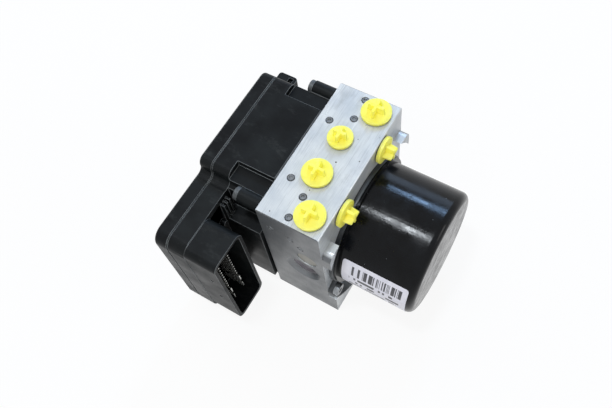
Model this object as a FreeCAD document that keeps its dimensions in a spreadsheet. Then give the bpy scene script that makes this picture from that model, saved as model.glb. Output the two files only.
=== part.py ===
import FreeCAD, Part
import math
import os
import re

import Sketcher

# An anti-lock brake module: an aluminium valve block with its pump motor on the
# +X side and its control unit with a side connector on the -X side.
# Origin: centre of the block's bottom face. X is the motor axis, toward the
# motor, Y runs along the block and Z is up. Millimetres.

doc = FreeCAD.newDocument("BrakeModule")
sheet = doc.addObject("Spreadsheet::Sheet", "Sizes")

SIZES = {
    # Block
    "blockThick": 42.7, "blockLength": 89.0, "blockHeight": 99.0,
    "portFaceStep": 5.3, "portBandHeight": 18.7, "motorPocketGap": 9.0,
    "footHeight": 19.4, "footLength": 9.9, "lugRadius": 5.0, "edgeBevel": 0.5,
    # Brake ports and their shipping plugs
    "portRadius": 5.5, "smallPortRadius": 4.6, "portDepth": 12.0, "portDrillRadius": 1.75,
    "portDrillDepth": 7.0, "outerPortX": 5.85, "outerPortInset": 9.8,
    "innerPortX": -3.35, "innerPortY": 12.0, "sidePortInset": 23.2, "sidePortDrop": 8.0,
    "plugRadius": 8.4, "smallPlugRadius": 7.05, "sidePlugRadius": 7.8, "plugDisc": 2.0,
    "plugShank": 9.0, "plugEdge": 0.5, "wingSpan": 9.4, "wingThick": 2.2, "wingHeight": 5.2,
    "plugFit": 0.15, "plugRingThick": 0.7, "plugRingInset": 0.5,
    # Staked seals of the cross drillings
    "sealRadius": 2.2, "sealDepth": 2.6, "sealDome": 0.35, "sealBevel": 0.7,
    "drillRadius": 1.5, "drillDepth": 9.0, "sealNearX": -14.6, "sealNearInset": 24.6,
    "sealMidX": -3.3, "sealMidInset": 17.9, "sealEndX": -3.7, "sealEndInset": 4.6,
    "sideSealHighX": -14.15, "sideSealHighDrop": 14.9, "sideSealMidX": -2.65,
    "sideSealMidDrop": 17.5, "sideSealLowX": 2.85, "sideSealLowDrop": 23.9,
    # Pump
    "pumpX": 1.55, "pumpDishRadius": 11.0, "pumpDishDepth": 2.6,
    "pumpPlugRadius": 8.6, "pumpPlugLength": 7.6, "pumpPlugHub": 4.4, "pumpPlugRim": 1.2,
    "pumpGrooveWidth": 3.0, "pumpGrooveDepth": 1.2, "pumpHubSink": 0.4, "springRoomRadius": 5.6,
    "springRoomLength": 7.4, "pistonRadius": 4.0, "pistonTip": 1.2, "springLength": 8.5,
    "camGap": 0.15, "camOffset": 0.8, "camPinRadius": 5.0, "camPinStand": 0.5,
    "camRingRadius": 9.0, "camWidth": 9.0, "camRoomRadius": 12.4, "camRoomEnd": 7.2,
    "springWire": 0.5, "springMeanRadius": 3.2, "springCoils": 4.0, "springTipGap": 0.25,
    "springSeatGap": 0.05,
    # Dampers
    "damperX": 5.45, "damperDrop": 36.4, "damperRadius": 6.3, "damperDepth": 12.0,
    "damperPlug": 3.4, "damperSink": 0.5,
    # Low-pressure accumulators
    "storeX": 3.6, "storeInset": 20.5, "storeRadius": 9.6, "storeDepth": 24.0, "storeCover": 2.4,
    "storeSink": 0.8, "storePistonLength": 7.6, "storePistonWall": 2.0,
    "storeTopGap": 0.4, "storeWire": 0.65, "storeSpringRadius": 6.2, "storeCoils": 5.0,
    # Solenoid valves
    "valveTopDrop": 19.0, "valveRowGap": 2.1,
    "valveRadius": 5.4, "valveDepth": 14.0, "valveNose": 3.2, "valveNoseLength": 4.0,
    "domeRadius": 3.0, "domeLength": 17.0, "collarRadius": 4.4, "collarLength": 1.6,
    "coilGap": 0.45, "coilLength": 14.6, "coilStart": 2.2, "coilWaist": 0.7,
    "coilCheek": 1.5,
    # Motor
    "motorPlugGap": 2.392, "canEnd": 65.55, "canWall": 2.0, "canCorner": 4.4,
    "rimWidth": 2.4, "rimGap": 0.82, "rimThick": 1.4, "plateThick": 2.6, "pilotRadius": 14.0,
    "pilotLength": 6.0, "frontRaceRadius": 11.0, "raceWidth": 7.0, "rearRaceRadius": 8.0,
    "rearRaceWidth": 5.0, "shaftRadius": 4.0, "rearJournal": 3.0,
    "bossWall": 2.4, "bearingGap": 0.1, "bearingLip": 2.0, "shaftEndGap": 0.5, "plateRim": 0.9,
    "earInset": 4.7, "earDrop": 19.5, "earRadius": 4.6, "earRoot": 0.7, "screwRadius": 2.5,
    "screwHeadRadius": 3.9, "screwHeadHeight": 3.2, "screwDepth": 11.0, "screwSocket": 1.6,
    "screwSocketDepth": 1.8,
    "magnetThick": 5.0, "magnetLength": 32.0, "magnetStart": 9.0, "magnetAngle": 130.0,
    "airGap": 0.8, "coreLength": 20.0, "slotWidth": 4.4, "slotDepth": 12.0,
    "slotCount": 12.0, "coreStart": 16.85, "windInset": 4.4, "windBore": 11.2,
    "windLength": 4.5, "segmentStart": 2.9, "segmentRadius": 9.6, "segmentLength": 9.0,
    "segmentSlot": 0.6, "segmentSlotDepth": 1.2, "brushWidth": 6.6, "brushThick": 5.0,
    "brushLength": 11.0, "brushGap": 0.1, "holderGap": 2.2, "holderBore": 12.0,
    "holderThick": 2.4, "holderWall": 1.4, "leadRadius": 2.9, "leadDrop": 28.0,
    "leadReach": 8.0,
    # Control unit
    "ecuDepth": 44.0, "gasketThick": 1.0, "lidDepth": 9.0, "seamGap": 0.8, "seamInset": 0.8,
    "ecuRear": 11.0, "bodyInset": 7.7, "bodyStep": 2.8, "ecuTopDrop": 1.0, "ecuBase": 1.0,
    "wingLength": 46.5,
    "wingDrop": 10.0, "ecuWall": 2.2, "ecuCorner": 5.0, "ecuNose": 8.0, "ecuHeel": 10.0,
    "lidEdge": 1.6, "stepHalf": 24.0, "stepDrop": 4.0, "neckRadius": 3.0,
    "notchWidth": 10.0, "notchTop": 12.0, "ledgeWidth": 9.3, "ledgeDrop": 28.0, "ledgeBase": 8.5,
    "postRadius": 4.2, "postStand": 1.7, "postTopDrop": 6.0, "postLowZ": 6.0, "postLength": 13.0,
    "unitScrewHead": 3.8, "unitHeadHeight": 2.6, "unitScrewRadius": 2.3, "unitScrewDepth": 9.0,
    "accessGap": 0.5, "socketLength": 20.0, "socketWidth": 24.7, "socketTopInset": 0.5,
    "socketSideInset": 0.3,
    "socketBase": 10.0, "socketWall": 2.1, "socketCorner": 5.0, "socketInnerCorner": 3.0,
    "pinWidth": 0.9, "pinReach": 12.0, "pinRowGap": 8.8, "pinCount": 13.0,
    "pinTopInset": 10.5, "pinBaseInset": 28.4, "bladeWidth": 5.4, "bladeThick": 1.0, "bladeReach": 13.0,
    "bladeBaseInset": 12.0, "bladePitch": 10.0, "bladeCount": 2.0, "moldGap": 0.05,
    "boardThick": 1.6, "boardGap": 0.6, "latchLength": 12.0, "latchReach": 9.0, "latchHeight": 7.0,
    "latchDrop": 12.0, "latchWall": 2.0, "latchFit": 0.3, "latchOverhang": 6.5,
    "chipSize": 16.0, "chipThick": 1.8, "capRadius": 4.0, "capHeight": 9.0, "hollowInset": 5.0,
    # Moulding details of the unit
    "dimpleRadius": 1.2, "dimpleDepth": 0.8, "dimpleInset": 7.0, "dimpleDrop": 22.5,
    "dimplePitch": 25.0, "markRadius": 6.0, "markDepth": 0.15, "markY": 11.8, "markInset": 2.0,
    "ribThick": 1.2, "ribReach": 3.0, "ribGap": 2.4, "ribCount": 3.0, "ribHeight": 14.0,
    "bossRadius": 1.7, "bossHeight": 3.2,
    # Mounting holes
    "mountRadius": 2.5, "mountDepth": 12.0, "mountX": -4.0, "mountInset": 6.5,
    # Clearances, and how far a cut runs past the face it opens
    "pressFit": 0.05, "runFit": 0.04, "overcut": 1.0, "boreEndGap": 1.0,
}

for line, (alias, value) in enumerate(SIZES.items(), start=1):
    sheet.set("A%d" % line, alias)
    sheet.set("B%d" % line, str(value))
    sheet.setAlias("B%d" % line, alias)
doc.recompute()
workings = doc.addObject("Spreadsheet::Sheet", "Workings")

nodes = []
AXIS_TURNS = {
    "X": FreeCAD.Rotation(FreeCAD.Vector(0, 1, 0), 90),
    "-X": FreeCAD.Rotation(FreeCAD.Vector(0, 1, 0), -90),
    "Y": FreeCAD.Rotation(FreeCAD.Vector(1, 0, 0), -90),
    "-Y": FreeCAD.Rotation(FreeCAD.Vector(1, 0, 0), 90),
    "Z": FreeCAD.Rotation(),
    "-Z": FreeCAD.Rotation(FreeCAD.Vector(1, 0, 0), 180),
}
# A turned profile lies along X, so these bring its axis to the named one.
LATHE_TURNS = {
    "X": FreeCAD.Rotation(),
    "-X": FreeCAD.Rotation(FreeCAD.Vector(0, 0, 1), 180),
    "Y": FreeCAD.Rotation(FreeCAD.Vector(0, 0, 1), 90),
    "-Y": FreeCAD.Rotation(FreeCAD.Vector(0, 0, 1), -90),
    "Z": FreeCAD.Rotation(FreeCAD.Vector(0, 1, 0), -90),
    "-Z": FreeCAD.Rotation(FreeCAD.Vector(0, 1, 0), 90),
}

# Places and sizes that several pieces share, as formulas of the named sizes.
BACK = "(-blockThick / 2)"
FRONT = "(blockThick / 2 - portFaceStep)"
SEAL_FACE = "(-blockThick / 2 - gasketThick)"
SEAM = "(-blockThick / 2 - ecuDepth + lidDepth)"
REAR_STEP = "(-blockThick / 2 - ecuDepth + lidDepth + ecuRear)"
PORT_Z = "(blockHeight - sidePortDrop)"
UNIT_TOP = "(blockHeight - ecuTopDrop)"
SIDE_PORT_Y = "(blockLength / 2 - sidePortInset)"
STORE_Y = "(blockLength / 2 - storeInset)"
EAR_Y = "(blockLength / 2 - earInset)"
EAR_REACH = "sqrt(%s * %s + earDrop * earDrop)" % (EAR_Y, EAR_Y)
RIM_RADIUS = "(%s - screwHeadRadius - rimGap)" % EAR_REACH
CAN_RADIUS = "(%s - rimWidth)" % RIM_RADIUS
PLATE_RADIUS = "(%s + plateRim)" % RIM_RADIUS
POCKET_RADIUS = "(%s + motorPocketGap)" % PLATE_RADIUS
CORE_RADIUS = "(%s - canWall - magnetThick - airGap)" % CAN_RADIUS
PLUG_REACH = "(%s + sidePlugRadius + motorPlugGap)" % PLATE_RADIUS
MOTOR_Z = "(%s - sqrt(%s * %s - %s * %s))" % (PORT_Z, PLUG_REACH, PLUG_REACH, SIDE_PORT_Y, SIDE_PORT_Y)
EAR_Z = "(%s - earDrop)" % MOTOR_Z
LEAD_Z = "(blockHeight - leadDrop)"
DAMPER_Z = "(blockHeight - damperDrop)"
LATCH_LOW = "(blockHeight - latchDrop - latchHeight)"
BODY_HALF = "(blockLength / 2 - bodyInset)"
ECU_HALF = "(%s - bodyStep)" % BODY_HALF
POST_Y = "(%s + postStand)" % BODY_HALF
POST_TOP = "(blockHeight - postTopDrop)"
VALVE_PITCH = "((%s - hollowInset) / 2)" % BODY_HALF
COIL_RADIUS = "(%s / 2 - coilGap)" % VALVE_PITCH
SOCKET_START = "(-%s - wingLength + socketSideInset)" % ECU_HALF
SOCKET_TOP = "(blockHeight - wingDrop - socketTopInset)"
PISTON_LENGTH = ("(blockLength / 2 - pumpDishDepth - pumpPlugLength - springLength"
                 " - springSeatGap - springTipGap - camRingRadius - 3 * camOffset - camGap)")
STEP_TOP = "(blockHeight - ecuTopDrop - stepDrop)"
PLATE = "(blockThick / 2 - portFaceStep + plateThick)"
CORE = "(blockThick / 2 - portFaceStep + plateThick + coreStart)"


def formula(text):
    """A formula with each size's name turned into its full reference."""
    def full_name(match):
        word = match.group()
        return "Sizes." + word if word in SIZES else word
    return re.sub(r"[A-Za-z]\w*", full_name, str(text))


def bind(thing, prop, text):
    thing.setExpression(prop, formula(text))


def place(thing, x, y, z, turn=None):
    if turn is not None:
        thing.Placement = FreeCAD.Placement(FreeCAD.Vector(), turn)
    bind(thing, "Placement.Base.x", x)
    bind(thing, "Placement.Base.y", y)
    bind(thing, "Placement.Base.z", z)
    return thing


def box(x, y, z, dx, dy, dz):
    thing = doc.addObject("Part::Box", "Box")
    bind(thing, "Length", dx)
    bind(thing, "Width", dy)
    bind(thing, "Height", dz)
    return place(thing, x, y, z)


def rod(axis, x, y, z, radius, length):
    thing = doc.addObject("Part::Cylinder", "Rod")
    bind(thing, "Radius", radius)
    bind(thing, "Height", length)
    return place(thing, x, y, z, AXIS_TURNS[axis])


def fuse(parts):
    thing = doc.addObject("Part::MultiFuse", "Joined")
    thing.Shapes = parts
    return thing


def cut(base, tools):
    thing = doc.addObject("Part::Cut", "Cut")
    thing.Base = base
    thing.Tool = tools[0] if len(tools) == 1 else fuse(tools)
    return thing


def group(parts):
    thing = doc.addObject("Part::Compound", "Group")
    thing.Links = parts
    return thing


def node(label, thing):
    thing.Label = label
    nodes.append(thing)
    return thing


def origin_plane(body, role):
    return [item for item in body.Origin.OriginFeatures if item.Role == role][0]


def outline_sketch(body, plane, points):
    """A closed outline whose corners are held by formulas of the sizes."""
    sketch = body.newObject("Sketcher::SketchObject", "Outline")
    sketch.AttachmentSupport = (origin_plane(body, plane), [""])
    sketch.MapMode = "FlatFace"
    values = [[worth(c) for c in point] for point in points]
    count = len(points)
    for i in range(count):
        start = FreeCAD.Vector(values[i][0], values[i][1], 0)
        end = FreeCAD.Vector(values[(i + 1) % count][0], values[(i + 1) % count][1], 0)
        sketch.addGeometry(Part.LineSegment(start, end), False)
    for i in range(count):
        sketch.addConstraint(Sketcher.Constraint("Coincident", i, 2, (i + 1) % count, 1))
    for i, point in enumerate(points):
        for kind, axis, text, value in (("DistanceX", -2, point[0], values[i][0]),
                                        ("DistanceY", -1, point[1], values[i][1])):
            if str(text) == "0":
                sketch.addConstraint(Sketcher.Constraint("PointOnObject", i, 1, axis))
            else:
                index = sketch.addConstraint(Sketcher.Constraint(kind, -1, 1, i, 1, value))
                bind(sketch, "Constraints[%d]" % index, text)
    return sketch


def worth(text):
    """A formula's value now."""
    workings.set("A1", "=" + formula(text))
    workings.recompute()
    return float(workings.get("A1"))


def is_ring(edge, ring):
    """Whether an edge of a turned profile is the circle at (along its axis, radius)."""
    if not hasattr(edge.Curve, "Radius"):
        return False
    return abs(edge.Curve.Radius - ring[1]) < 0.01 and abs(edge.CenterOfMass.x - ring[0]) < 0.01


def is_corner(edge, corners):
    """Whether an edge of a slab runs along X at one of the corners in Y and Z."""
    middle = edge.CenterOfMass
    along = abs(edge.tangentAt(edge.FirstParameter).x) > 0.99
    return along and any(math.hypot(middle.y - y, middle.z - z) < 0.01 for y, z in corners)


def fillet(body, kind, chosen, radius):
    """Rounds the chosen edges or faces of a body's last feature."""
    last = body.Tip
    names = [kind + str(n) for n, item in enumerate(getattr(last.Shape, kind + "s"), start=1)
             if chosen(item)]
    step = body.newObject("PartDesign::Fillet", "Round")
    step.Base = (last, names)
    bind(step, "Radius", radius)
    body.Tip = step
    doc.recompute()


def turned(axis, x, y, z, points, rounds=()):
    """A piece turned on a lathe: points are (along its axis, radius), some of them rounded."""
    body = doc.addObject("PartDesign::Body", "Turned")
    sketch = outline_sketch(body, "XY_Plane", points)
    solid = body.newObject("PartDesign::Revolution", "Spin")
    solid.Profile = sketch
    solid.ReferenceAxis = (sketch, ["H_Axis"])
    solid.Angle = 360
    for (along, radius), round_radius in rounds:
        doc.recompute()
        ring = (worth(along), worth(radius))
        fillet(body, "Edge", lambda edge: is_ring(edge, ring), round_radius)
    return place(body, x, y, z, LATHE_TURNS[axis])


def slab(x, points, thickness, rounds=(), face_round=None):
    """A plate across X with an outline in Y and Z, rounded at chosen corners."""
    body = doc.addObject("PartDesign::Body", "Slab")
    sketch = outline_sketch(body, "YZ_Plane", points)
    pad = body.newObject("PartDesign::Pad", "Pad")
    pad.Profile = sketch
    bind(pad, "Length", thickness)
    doc.recompute()
    for corners, radius in rounds:
        fillet(body, "Edge", lambda edge: is_corner(edge, corners), radius)
    if face_round:
        fillet(body, "Face", lambda face: abs(face.CenterOfMass.x) < 0.01, face_round)
    place(body, x, "0", "0")
    doc.recompute()
    return body


# Valve block

def corner_values(*pairs):
    return [(worth(y), worth(z)) for y, z in pairs]


def block_core():
    core = box(BACK, "-blockLength / 2", "0",
               "blockThick - portFaceStep", "blockLength", "blockHeight")
    doc.recompute()
    bevel = doc.addObject("Part::Chamfer", "Bevel")
    bevel.Base = core
    top = worth("blockHeight")
    back = -worth("blockThick") / 2
    width = worth("edgeBevel")
    bevel.Edges = [(n, width, width) for n, edge in enumerate(core.Shape.Edges, start=1)
                   if edge.CenterOfMass.z > top - 0.01
                   or (edge.CenterOfMass.x < back + 0.01 and 1 < edge.CenterOfMass.z)]
    lug_corners = (("-blockLength / 2", "blockHeight - portBandHeight"),
                   ("blockLength / 2", "blockHeight - portBandHeight"))
    face_plate = slab(FRONT, [("-blockLength / 2", "0"), ("blockLength / 2", "0"),
                              lug_corners[1], lug_corners[0]],
                      "portFaceStep", [(corner_values(*lug_corners), "lugRadius")])
    pocket = [rod("X", FRONT, "0", MOTOR_Z, POCKET_RADIUS, "portFaceStep + overcut")]
    for side in (-1, 1):
        # The foot's top is milled flat beside the round motor pocket.
        start = "-blockLength / 2 - overcut" if side < 0 else "blockLength / 2 - footLength"
        pocket.append(box(FRONT, start, "footHeight", "portFaceStep + overcut",
                          "footLength + overcut", MOTOR_Z + " - footHeight"))
    return fuse([bevel, cut(face_plate, pocket)])


def seal_places():
    """Each cross drilling's axis out of its mouth, and the mouth's centre."""
    spots = []
    for axis, side in (("-Y", "-1"), ("Y", "1")):
        for x, inset in (("sealNearX", "sealNearInset"), ("sealMidX", "sealMidInset"),
                         ("sealEndX", "sealEndInset")):
            spots.append(("Z", x, "%s * (blockLength / 2 - %s)" % (side, inset), "blockHeight"))
        for x, drop in (("sideSealHighX", "sideSealHighDrop"), ("sideSealMidX", "sideSealMidDrop"),
                        ("sideSealLowX", "sideSealLowDrop")):
            spots.append((axis, x, side + " * blockLength / 2", "blockHeight - " + drop))
    return spots


def inward(axis):
    return axis[1:] if axis.startswith("-") else "-" + axis


def shifted(axis, x, y, z, distance):
    """A point moved along a named axis."""
    sign = "-" if axis.startswith("-") else "+"
    moved = {"X": x, "Y": y, "Z": z}
    letter = axis[-1]
    moved[letter] = "%s %s (%s)" % (moved[letter], sign, distance)
    return moved["X"], moved["Y"], moved["Z"]


def port_places():
    """Each brake port: its axis out of the mouth, mouth centre, bore and plug radius."""
    outer_y = "(blockLength / 2 - outerPortInset)"
    return [
        ("brake_port_plug_front_outer", "Z", "outerPortX", "-" + outer_y, "blockHeight",
         "portRadius", "plugRadius"),
        ("brake_port_plug_front_inner", "Z", "innerPortX", "-innerPortY", "blockHeight",
         "portRadius", "plugRadius"),
        ("brake_port_plug_back_inner", "Z", "innerPortX", "innerPortY", "blockHeight",
         "smallPortRadius", "smallPlugRadius"),
        ("brake_port_plug_back_outer", "Z", "outerPortX", outer_y, "blockHeight",
         "portRadius", "plugRadius"),
        ("master_port_plug_front", "X", FRONT, "-" + SIDE_PORT_Y, PORT_Z, "portRadius",
         "sidePlugRadius"),
        ("master_port_plug_back", "X", FRONT, SIDE_PORT_Y, PORT_Z, "portRadius", "sidePlugRadius"),
    ]


def valve_places():
    """The columns and rows of the solenoid valves on the block's back face."""
    places = []
    low_row = "valveTopDrop + valveRowGap + " + VALVE_PITCH
    for row, drop in (("outlet", low_row), ("inlet", "valveTopDrop")):
        z = "(blockHeight - (%s))" % drop
        columns = ["%s * %s" % (share, VALVE_PITCH) for share in (-1.5, -0.5, 0.5, 1.5)]
        for number, y in enumerate(columns, start=1):
            places.append(("%s_%d" % (row, number), y, z))
    return places


def unit_screw_places():
    return [(y, z) for z in (POST_TOP, "postLowZ") for y in ("-" + POST_Y, POST_Y)]


def motor_screw_places():
    return [("-" + EAR_Y, EAR_Z), (EAR_Y, EAR_Z)]


def bore(axis, x, y, z, steps):
    """A stepped hole along an axis into the block: steps are (depth, radius)."""
    points = [("-overcut", "0"), ("-overcut", steps[0][1])]
    for number, (depth, radius) in enumerate(steps):
        points.append((depth, radius))
        if number + 1 < len(steps):
            points.append((depth, steps[number + 1][1]))
    points.append((steps[-1][0], "0"))
    return turned(axis, x, y, z, points)


def block_bores():
    holes = []
    for label, axis, x, y, z, radius, disc in port_places():
        neck = "portDepth + %s - portDrillRadius" % radius
        holes.append(turned(inward(axis), x, y, z, [
            ("-overcut", "0"), ("-overcut", radius), ("portDepth", radius), (neck, "portDrillRadius"),
            ("portDepth + portDrillDepth", "portDrillRadius"), ("portDepth + portDrillDepth", "0")]))
    for axis, x, y, z in seal_places():
        holes.append(bore(inward(axis), x, y, z, [("sealDepth", "sealRadius + pressFit"),
                                                  ("drillDepth", "drillRadius")]))
    for axis, side in (("-Y", "-1 * "), ("Y", "1 * ")):
        face = side + "blockLength / 2"
        plug = "pumpPlugRadius + pressFit"
        seat = "(pumpDishDepth + pumpPlugLength)"
        holes.append(turned(inward(axis), "pumpX", face, MOTOR_Z, [
            ("0", "0"), ("0", "pumpDishRadius"), ("pumpDishDepth", plug), (seat, plug),
            (seat, "springRoomRadius"), (seat + " + springRoomLength", "springRoomRadius"),
            (seat + " + springRoomLength", "pistonRadius + runFit"),
            ("blockLength / 2 - camRoomRadius / 2", "pistonRadius + runFit"),
            ("blockLength / 2 - camRoomRadius / 2", "0")]))
        holes.append(bore(inward(axis), "damperX", face, DAMPER_Z,
                          [("damperDepth", "damperRadius + pressFit")]))
        holes.append(bore("Z", "storeX", side + STORE_Y, "0",
                          [("storeDepth", "storeRadius + runFit")]))
        holes.append(bore("Z", "mountX", side + "(blockLength / 2 - mountInset)", "0",
                          [("mountDepth", "mountRadius")]))
    for label, y, z in valve_places():
        holes.append(bore("X", BACK, y, z, [("valveDepth - valveNoseLength", "valveRadius + pressFit"),
                                            ("valveDepth", "valveNose + pressFit")]))
    for y, z in unit_screw_places():
        holes.append(bore("X", BACK, y, z, [("unitScrewDepth + boreEndGap", "unitScrewRadius + pressFit")]))
    for y, z in motor_screw_places():
        holes.append(bore("-X", FRONT, y, z, [("screwDepth + boreEndGap", "screwRadius + pressFit")]))
    holes.append(bore("-X", FRONT, "0", LEAD_Z,
                      [("blockThick - portFaceStep + overcut", "leadRadius + pressFit")]))
    return holes


def cam_room():
    return bore("-X", FRONT, "0", MOTOR_Z, [
        ("pilotLength", "pilotRadius + pressFit"),
        ("blockThick / 2 - portFaceStep - pumpX + camRoomEnd", "camRoomRadius")])


def hydraulic_block():
    drilled = cut(block_core(), [group(block_bores())])
    return node("hydraulic_block", cut(drilled, [cam_room()]))


# Port plugs: a hollow shank, a disc over a sealing ring and a raised cross

def port_plugs():
    rings = []
    for label, axis, x, y, z, bore, disc in port_places():
        shank = bore + " - plugFit"
        seat = "plugRingThick"
        profile = [("-plugShank", "0"), ("-plugShank", shank + " - plugEdge"),
                   ("-plugShank + plugEdge", shank), (seat, shank), (seat, disc),
                   (seat + " + plugDisc - plugEdge", disc),
                   (seat + " + plugDisc", disc + " - plugEdge"), (seat + " + plugDisc", "0")]
        body = turned(axis, x, y, z, profile)
        wings = []
        base = "%s + plugDisc" % seat
        if axis == "Z":
            for spans in (("wingSpan", "wingThick"), ("wingThick", "wingSpan")):
                wings.append(box("%s - %s / 2" % (x, spans[0]), "%s - %s / 2" % (y, spans[1]),
                                 "%s + %s - plugEdge" % (z, base), spans[0], spans[1],
                                 "wingHeight + plugEdge"))
        else:
            for spans in (("wingSpan", "wingThick"), ("wingThick", "wingSpan")):
                wings.append(box("%s + %s - plugEdge" % (x, base), "%s - %s / 2" % (y, spans[0]),
                                 "%s - %s / 2" % (z, spans[1]), "wingHeight + plugEdge",
                                 spans[0], spans[1]))
        node(label, fuse([body] + wings))
        outer = disc + " - plugRingInset"
        rings.append(turned(axis, x, y, z, [("0", shank + " + plugFit"), ("0", outer),
                                            (seat, outer), (seat, shank + " + plugFit")]))
    node("plug_seal_rings", group(rings))


def cross_drilling_seals():
    seals = []
    for axis, x, y, z in seal_places():
        profile = [("-sealDepth", "0"), ("-sealDepth", "sealRadius"), ("0", "sealRadius"),
                   ("sealDome", "sealRadius - sealBevel"), ("sealDome", "sealBevel"),
                   ("0", "sealBevel / 2"), ("0", "0")]
        seals.append(turned(axis, x, y, z, profile))
    node("cross_drilling_seals", group(seals))


# Pump: a plug, a return spring and a piston on each side of the eccentric

def spring(axis, x, y, z, mean_radius, wire, coils, length):
    """A compression spring that rises from its seat, as a chain of tilted half rings."""
    rise = "((%s - 2 * %s) / %s / 2)" % (length, wire, coils)
    tilt = math.degrees(math.atan2(worth(rise), 2 * worth(mean_radius)))
    halves = []
    for number in range(int(2 * worth(coils))):
        half = doc.addObject("Part::Torus", "HalfTurn")
        bind(half, "Radius1", "sqrt(%s * %s + %s * %s / 4)" % (mean_radius, mean_radius, rise, rise))
        bind(half, "Radius2", wire)
        half.Angle3 = 180
        turn = FreeCAD.Rotation(FreeCAD.Vector(0, 1, 0), tilt)
        if number % 2:
            turn = turn.inverted().multiply(FreeCAD.Rotation(FreeCAD.Vector(0, 0, 1), 180))
        halves.append(place(half, "0", "0", "%s + %s * %g" % (wire, rise, number + 0.5), turn))
    return place(fuse(halves), x, y, z, AXIS_TURNS[axis])


def pump(name, axis, side):
    face = side + " * blockLength / 2"
    x, y, z = shifted(inward(axis), "pumpX", face, MOTOR_Z, "pumpDishDepth")
    # The plug's outer end is a shallow dish with a hub, and its inner end seats the spring.
    node("pump_plug_" + name, turned(axis, x, y, z, [
        ("-pumpPlugLength", "0"), ("-pumpPlugLength", "pumpPlugRadius - plugEdge"),
        ("-pumpPlugLength + plugEdge", "pumpPlugRadius"), ("0", "pumpPlugRadius"),
        ("0", "pumpPlugRadius - pumpPlugRim"), ("-pumpGrooveDepth", "pumpPlugRadius - pumpGrooveWidth"),
        ("-pumpGrooveDepth", "pumpPlugHub"), ("-pumpHubSink", "pumpPlugHub - pumpHubSink"),
        ("-pumpHubSink", "0")]))
    x, y, z = "pumpX", side + " * (camRingRadius + camOffset + camGap)", MOTOR_Z
    node("pump_piston_" + name, turned(axis, x, y, z, [
        ("0", "0"), ("0", "pistonTip"), ("pistonRadius - pistonTip", "pistonRadius"),
        (PISTON_LENGTH + " - plugEdge", "pistonRadius"), (PISTON_LENGTH, "pistonRadius - plugEdge"),
        (PISTON_LENGTH, "0")]))
    # The spring stands on the plug and ends just short of the piston at full stroke.
    seat = side + " * (blockLength / 2 - pumpDishDepth - pumpPlugLength)"
    seat += " - %s * springSeatGap" % side
    node("pump_spring_" + name, spring(inward(axis), "pumpX", seat, MOTOR_Z, "springMeanRadius",
                                       "springWire", "springCoils", "springLength"))


def dampers():
    plugs = []
    for axis, side in (("-Y", "-1"), ("Y", "1")):
        face = side + " * blockLength / 2"
        x, y, z = shifted(inward(axis), "damperX", face, DAMPER_Z, "damperSink")
        plugs.append(turned(axis, x, y, z, [
            ("-damperPlug", "0"), ("-damperPlug", "damperRadius"), ("-plugEdge", "damperRadius"),
            ("0", "damperRadius - plugEdge"), ("0", "0")]))
    node("damper_plugs", group(plugs))


# Low-pressure accumulators in the bottom face

def accumulator(name, side):
    y = side + " * " + STORE_Y
    node("accumulator_cover_" + name, turned("Z", "storeX", y, "storeSink", [
        ("0", "0"), ("0", "storeRadius - plugEdge"), ("plugEdge", "storeRadius"),
        ("storeCover", "storeRadius"), ("storeCover", "0")]))
    top = "storeDepth - storeTopGap"
    node("accumulator_piston_" + name, turned("Z", "storeX", y, top, [
        ("0", "0"), ("0", "storeRadius - 2 * plugEdge"), ("-2 * plugEdge", "storeRadius"),
        ("-storePistonLength", "storeRadius"),
        ("-storePistonLength", "storeRadius - storePistonWall"),
        ("-storePistonWall", "storeRadius - storePistonWall"), ("-storePistonWall", "0")]))
    seat = "storeSink + storeCover + springSeatGap"
    node("accumulator_spring_" + name, spring(
        "Z", "storeX", y, seat, "storeSpringRadius", "storeWire", "storeCoils",
        "(storeDepth - storeTopGap - storePistonWall - storeSink - storeCover - 2 * springSeatGap)"))


# Solenoid valves: a cartridge in the block and a coil over its dome

def solenoid_valves():
    for name, y, z in valve_places():
        nose = "valveDepth - valveNoseLength"
        node("valve_" + name, turned("X", BACK, y, z, [
            ("valveDepth - plugEdge", "0"), ("valveDepth - plugEdge", "valveNose"),
            (nose + " - plugEdge", "valveNose"), (nose + " - plugEdge", "valveRadius"),
            ("0", "valveRadius"), ("0", "collarRadius"), ("-collarLength", "collarRadius"),
            ("-collarLength", "domeRadius"), ("-domeLength + domeRadius / 2", "domeRadius"),
            ("-domeLength", "domeRadius / 2"), ("-domeLength", "0")]))
    for name, y, z in valve_places():
        bore = "domeRadius + moldGap"
        node("coil_" + name, turned("X", BACK, y, z, [
            ("-coilStart", bore), ("-coilStart", COIL_RADIUS),
            ("-coilStart - coilCheek", COIL_RADIUS),
            ("-coilStart - coilCheek", COIL_RADIUS + " - coilWaist"),
            ("-coilStart - coilLength + coilCheek", COIL_RADIUS + " - coilWaist"),
            ("-coilStart - coilLength + coilCheek", COIL_RADIUS),
            ("-coilStart - coilLength", COIL_RADIUS), ("-coilStart - coilLength", bore)]))


# Pump motor

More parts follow.
